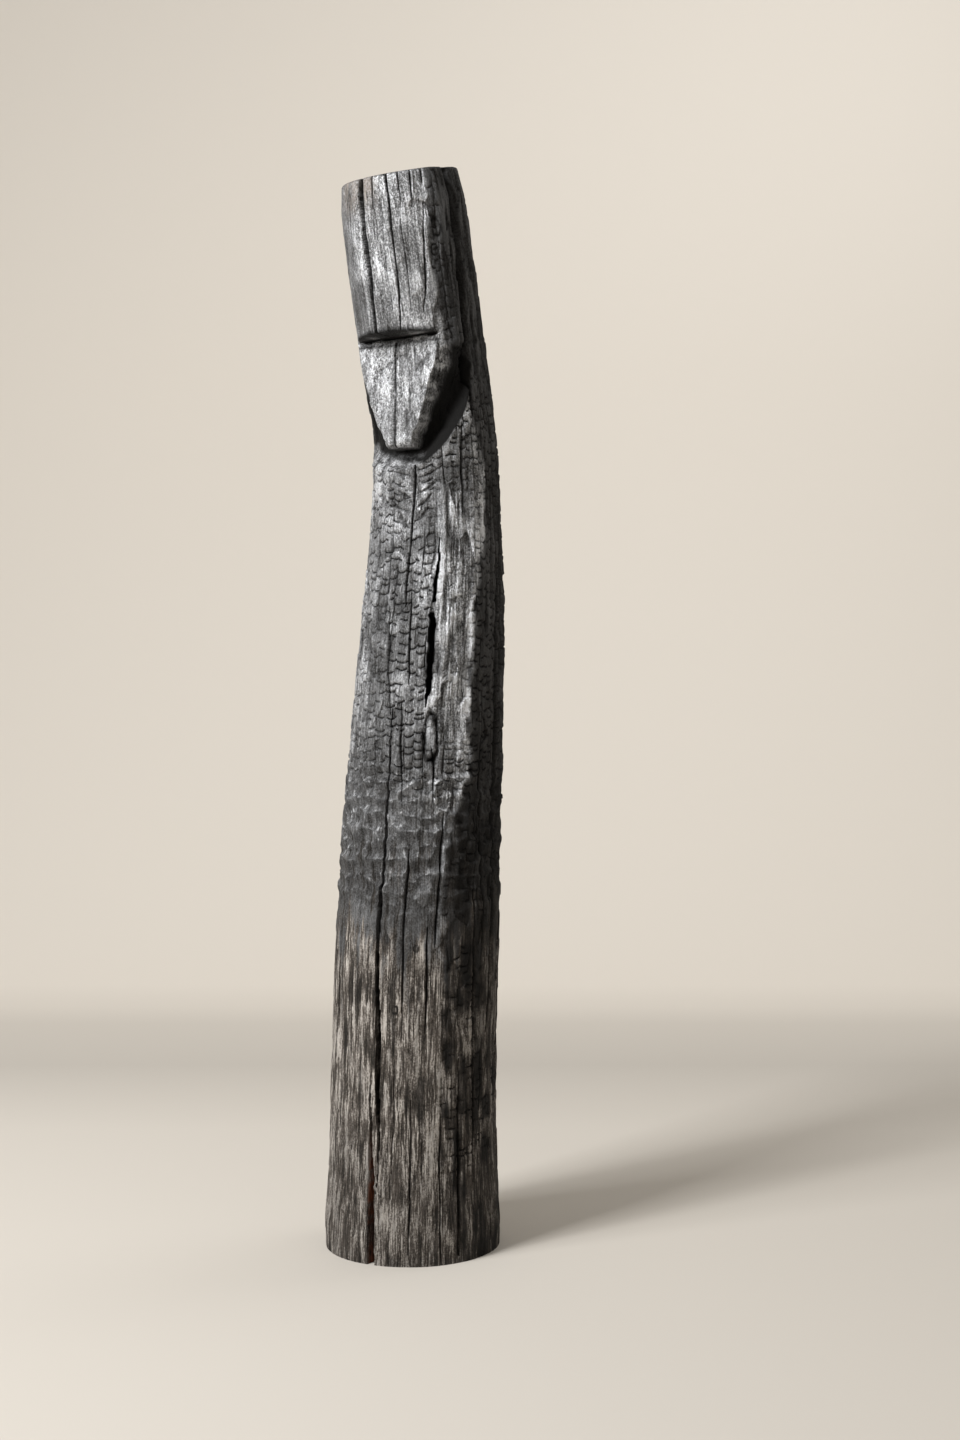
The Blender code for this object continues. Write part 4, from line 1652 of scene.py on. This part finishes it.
@dataclass
class Studio:
    """A pale paper sweep, one soft key light and a little fill.

    Attributes:
        view_azimuth: Azimuth of the camera round the figure.
        distance: Camera to the figure's axis, along the view.
        aside: How far the camera stands to the right of the axis.
        eye_height: The camera's height.
        lens: Its focal length, in millimetres on a 36 mm side.
        key: The light that casts the shadow.
        front: A wide, low one that lies as a sheen on the char.
        wash: What lights the wall.
        floor_half: Half the paper's width.
        sweep_behind: How far behind the figure the paper stands up.
        bend: Radius of its bend.
        bend_steps: Strips that the bend is made of.
        wall_height: How high it stands.
        toned: How far behind the figure the paper's tone changes.
        tones: Its tone at the front edge, at those places and where the bend starts; the dip is a band of
            painted shade.
        aim_height: Height that the softboxes stand round and look at.
        wash_height: Height on the wall that the wash looks at.
        paper: The paper's colour.
        air: Strength of the light from all round.
    """

    view_azimuth: float = 32.0
    distance: float = 2.934
    aside: float = 0.1103
    eye_height: float = 0.851
    lens: float = 44.9
    key: Softbox = Softbox(-13, 48, 4.4, 0.8, 142)
    front: Softbox = Softbox(-24, 24, 5.2, 1.5, 165)
    wash: Softbox = Softbox(160, 50, 4.2, 3.0, 55)
    floor_half: float = 4.6
    sweep_behind: float = 4.7
    bend: float = 2.3
    bend_steps: int = 12
    wall_height: float = 7.0
    toned: tuple[float, ...] = (0.8, 1.5, 2.1)
    tones: tuple[float, ...] = (0.80, 0.80, 0.69, 0.80, 0.92)
    aim_height: float = 0.9
    wash_height: float = 1.6
    paper: str = "#e3ddd4"
    air: float = 0.40

    def direction(self, azimuth: float, elevation: float) -> Vector:
        """Give the direction from the figure out to an azimuth and an elevation."""
        a, e = math.radians(azimuth), math.radians(elevation)
        return Vector((math.sin(a) * math.cos(e), -math.cos(a) * math.cos(e), math.sin(e)))

    def sweep(self) -> bpy.types.Object:
        """Make the floor, which curves up into a wall a long way behind."""
        bm = bmesh.new()
        away = self.direction(self.view_azimuth + 180, 0)
        along = Vector((-away.y, away.x, 0))
        flat = self.sweep_behind - self.bend
        profile = [(out, 0.0) for out in (-self.floor_half, *self.toned, flat)]
        for step in range(1, self.bend_steps + 1):
            turn = math.radians(90 * step / self.bend_steps)
            profile.append((flat + self.bend * math.sin(turn), self.bend - self.bend * math.cos(turn)))
        profile.append((self.sweep_behind, self.wall_height))
        rows = []
        for out, up in profile:
            middle = away * out + Vector((0, 0, up))
            rows.append([bm.verts.new(middle + along * side * self.floor_half) for side in (-1, 1)])
        for low, high in zip(rows, rows[1:]):
            bm.faces.new((low[0], low[1], high[1], high[0]))
        mesh = bpy.data.meshes.new("paper_sweep")
        bm.to_mesh(mesh)
        bm.free()
        mesh.shade_smooth()
        # The paper's tone: a band of painted shade across the floor, and the floor darker than the wall.
        tones = [*self.tones, *[1.0] * (len(profile) - len(self.tones))]
        layer = mesh.attributes.new("tone", "FLOAT_COLOR", "POINT")
        sheet = linear(self.paper)
        shaded = [[c * tone for c in sheet] for tone in tones for _ in (0, 1)]
        layer.data.foreach_set("color", np.ravel(shaded))
        made = put("paper_sweep", mesh)
        paper = bpy.data.materials.new("matt_paper")
        paper.use_nodes = True
        shader = paper.node_tree.nodes["Principled BSDF"]
        tone = add_node(paper.node_tree, "ShaderNodeAttribute", attribute_name="tone")
        paper.node_tree.links.new(tone.outputs["Color"], shader.inputs["Base Color"])
        shader.inputs["Roughness"].default_value = 0.95
        shader.inputs["Specular IOR Level"].default_value = 0.1
        mesh.materials.append(paper)
        return made

    def lamp(self, name: str, box: Softbox, towards: Vector) -> None:
        """Hang a softbox.

        Args:
            name: Its name.
            box: Where and how large it is.
            towards: What it is aimed at.
        """
        light = bpy.data.lights.new(name, "AREA")
        light.size, light.energy = box.size, box.power
        hung = put(name, light)
        out = self.direction(box.azimuth, box.elevation)
        hung.location = Vector((0, 0, self.aim_height)) + out * box.distance
        hung.rotation_euler = (towards - hung.location).to_track_quat("-Z", "Y").to_euler()

    def build(self) -> None:
        """Set the paper, the lights and the camera."""
        scene = bpy.context.scene
        self.sweep()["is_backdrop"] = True
        middle = Vector((0, 0, self.aim_height))
        self.lamp("key_softbox", self.key, middle)
        self.lamp("front_softbox", self.front, middle)
        behind = self.direction(self.view_azimuth + 180, 0)
        self.lamp("wall_wash", self.wash, behind * self.sweep_behind + Vector((0, 0, self.wash_height)))
        world = bpy.data.worlds.new("studio_air")
        world.use_nodes = True
        air = world.node_tree.nodes["Background"]
        air.inputs["Color"].default_value = linear(self.paper)
        air.inputs["Strength"].default_value = self.air
        scene.world = world
        scene.view_settings.view_transform = "Standard"
        scene.view_settings.look = "None"
        lens = bpy.data.cameras.new("camera")
        lens.lens, lens.sensor_width = self.lens, 36.0
        camera = put("camera", lens)
        forward = -self.direction(self.view_azimuth, 0)
        right = Vector((-forward.y, forward.x, 0)) * -1
        camera.location = -forward * self.distance + right * self.aside + Vector((0, 0, self.eye_height))
        camera.rotation_euler = (math.radians(90), 0, math.radians(self.view_azimuth))
        scene.camera = camera


def corners() -> list[list[float]]:
    """Give the whole object's box as plain numbers."""
    return [[round(float(c), 5) for c in corner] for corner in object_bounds()]


def main() -> None:
    """Build the figure and the studio."""
    logging.basicConfig(level=logging.INFO, format="%(name)s: %(message)s")
    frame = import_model()
    piece = CharredFigure().build(frame)
    LOG.info("%s stands for the log, with %d faces", piece.name, len(piece.data.polygons))
    Studio().build()
    LOG.info("studio set")


if __name__ == "__main__":
    main()
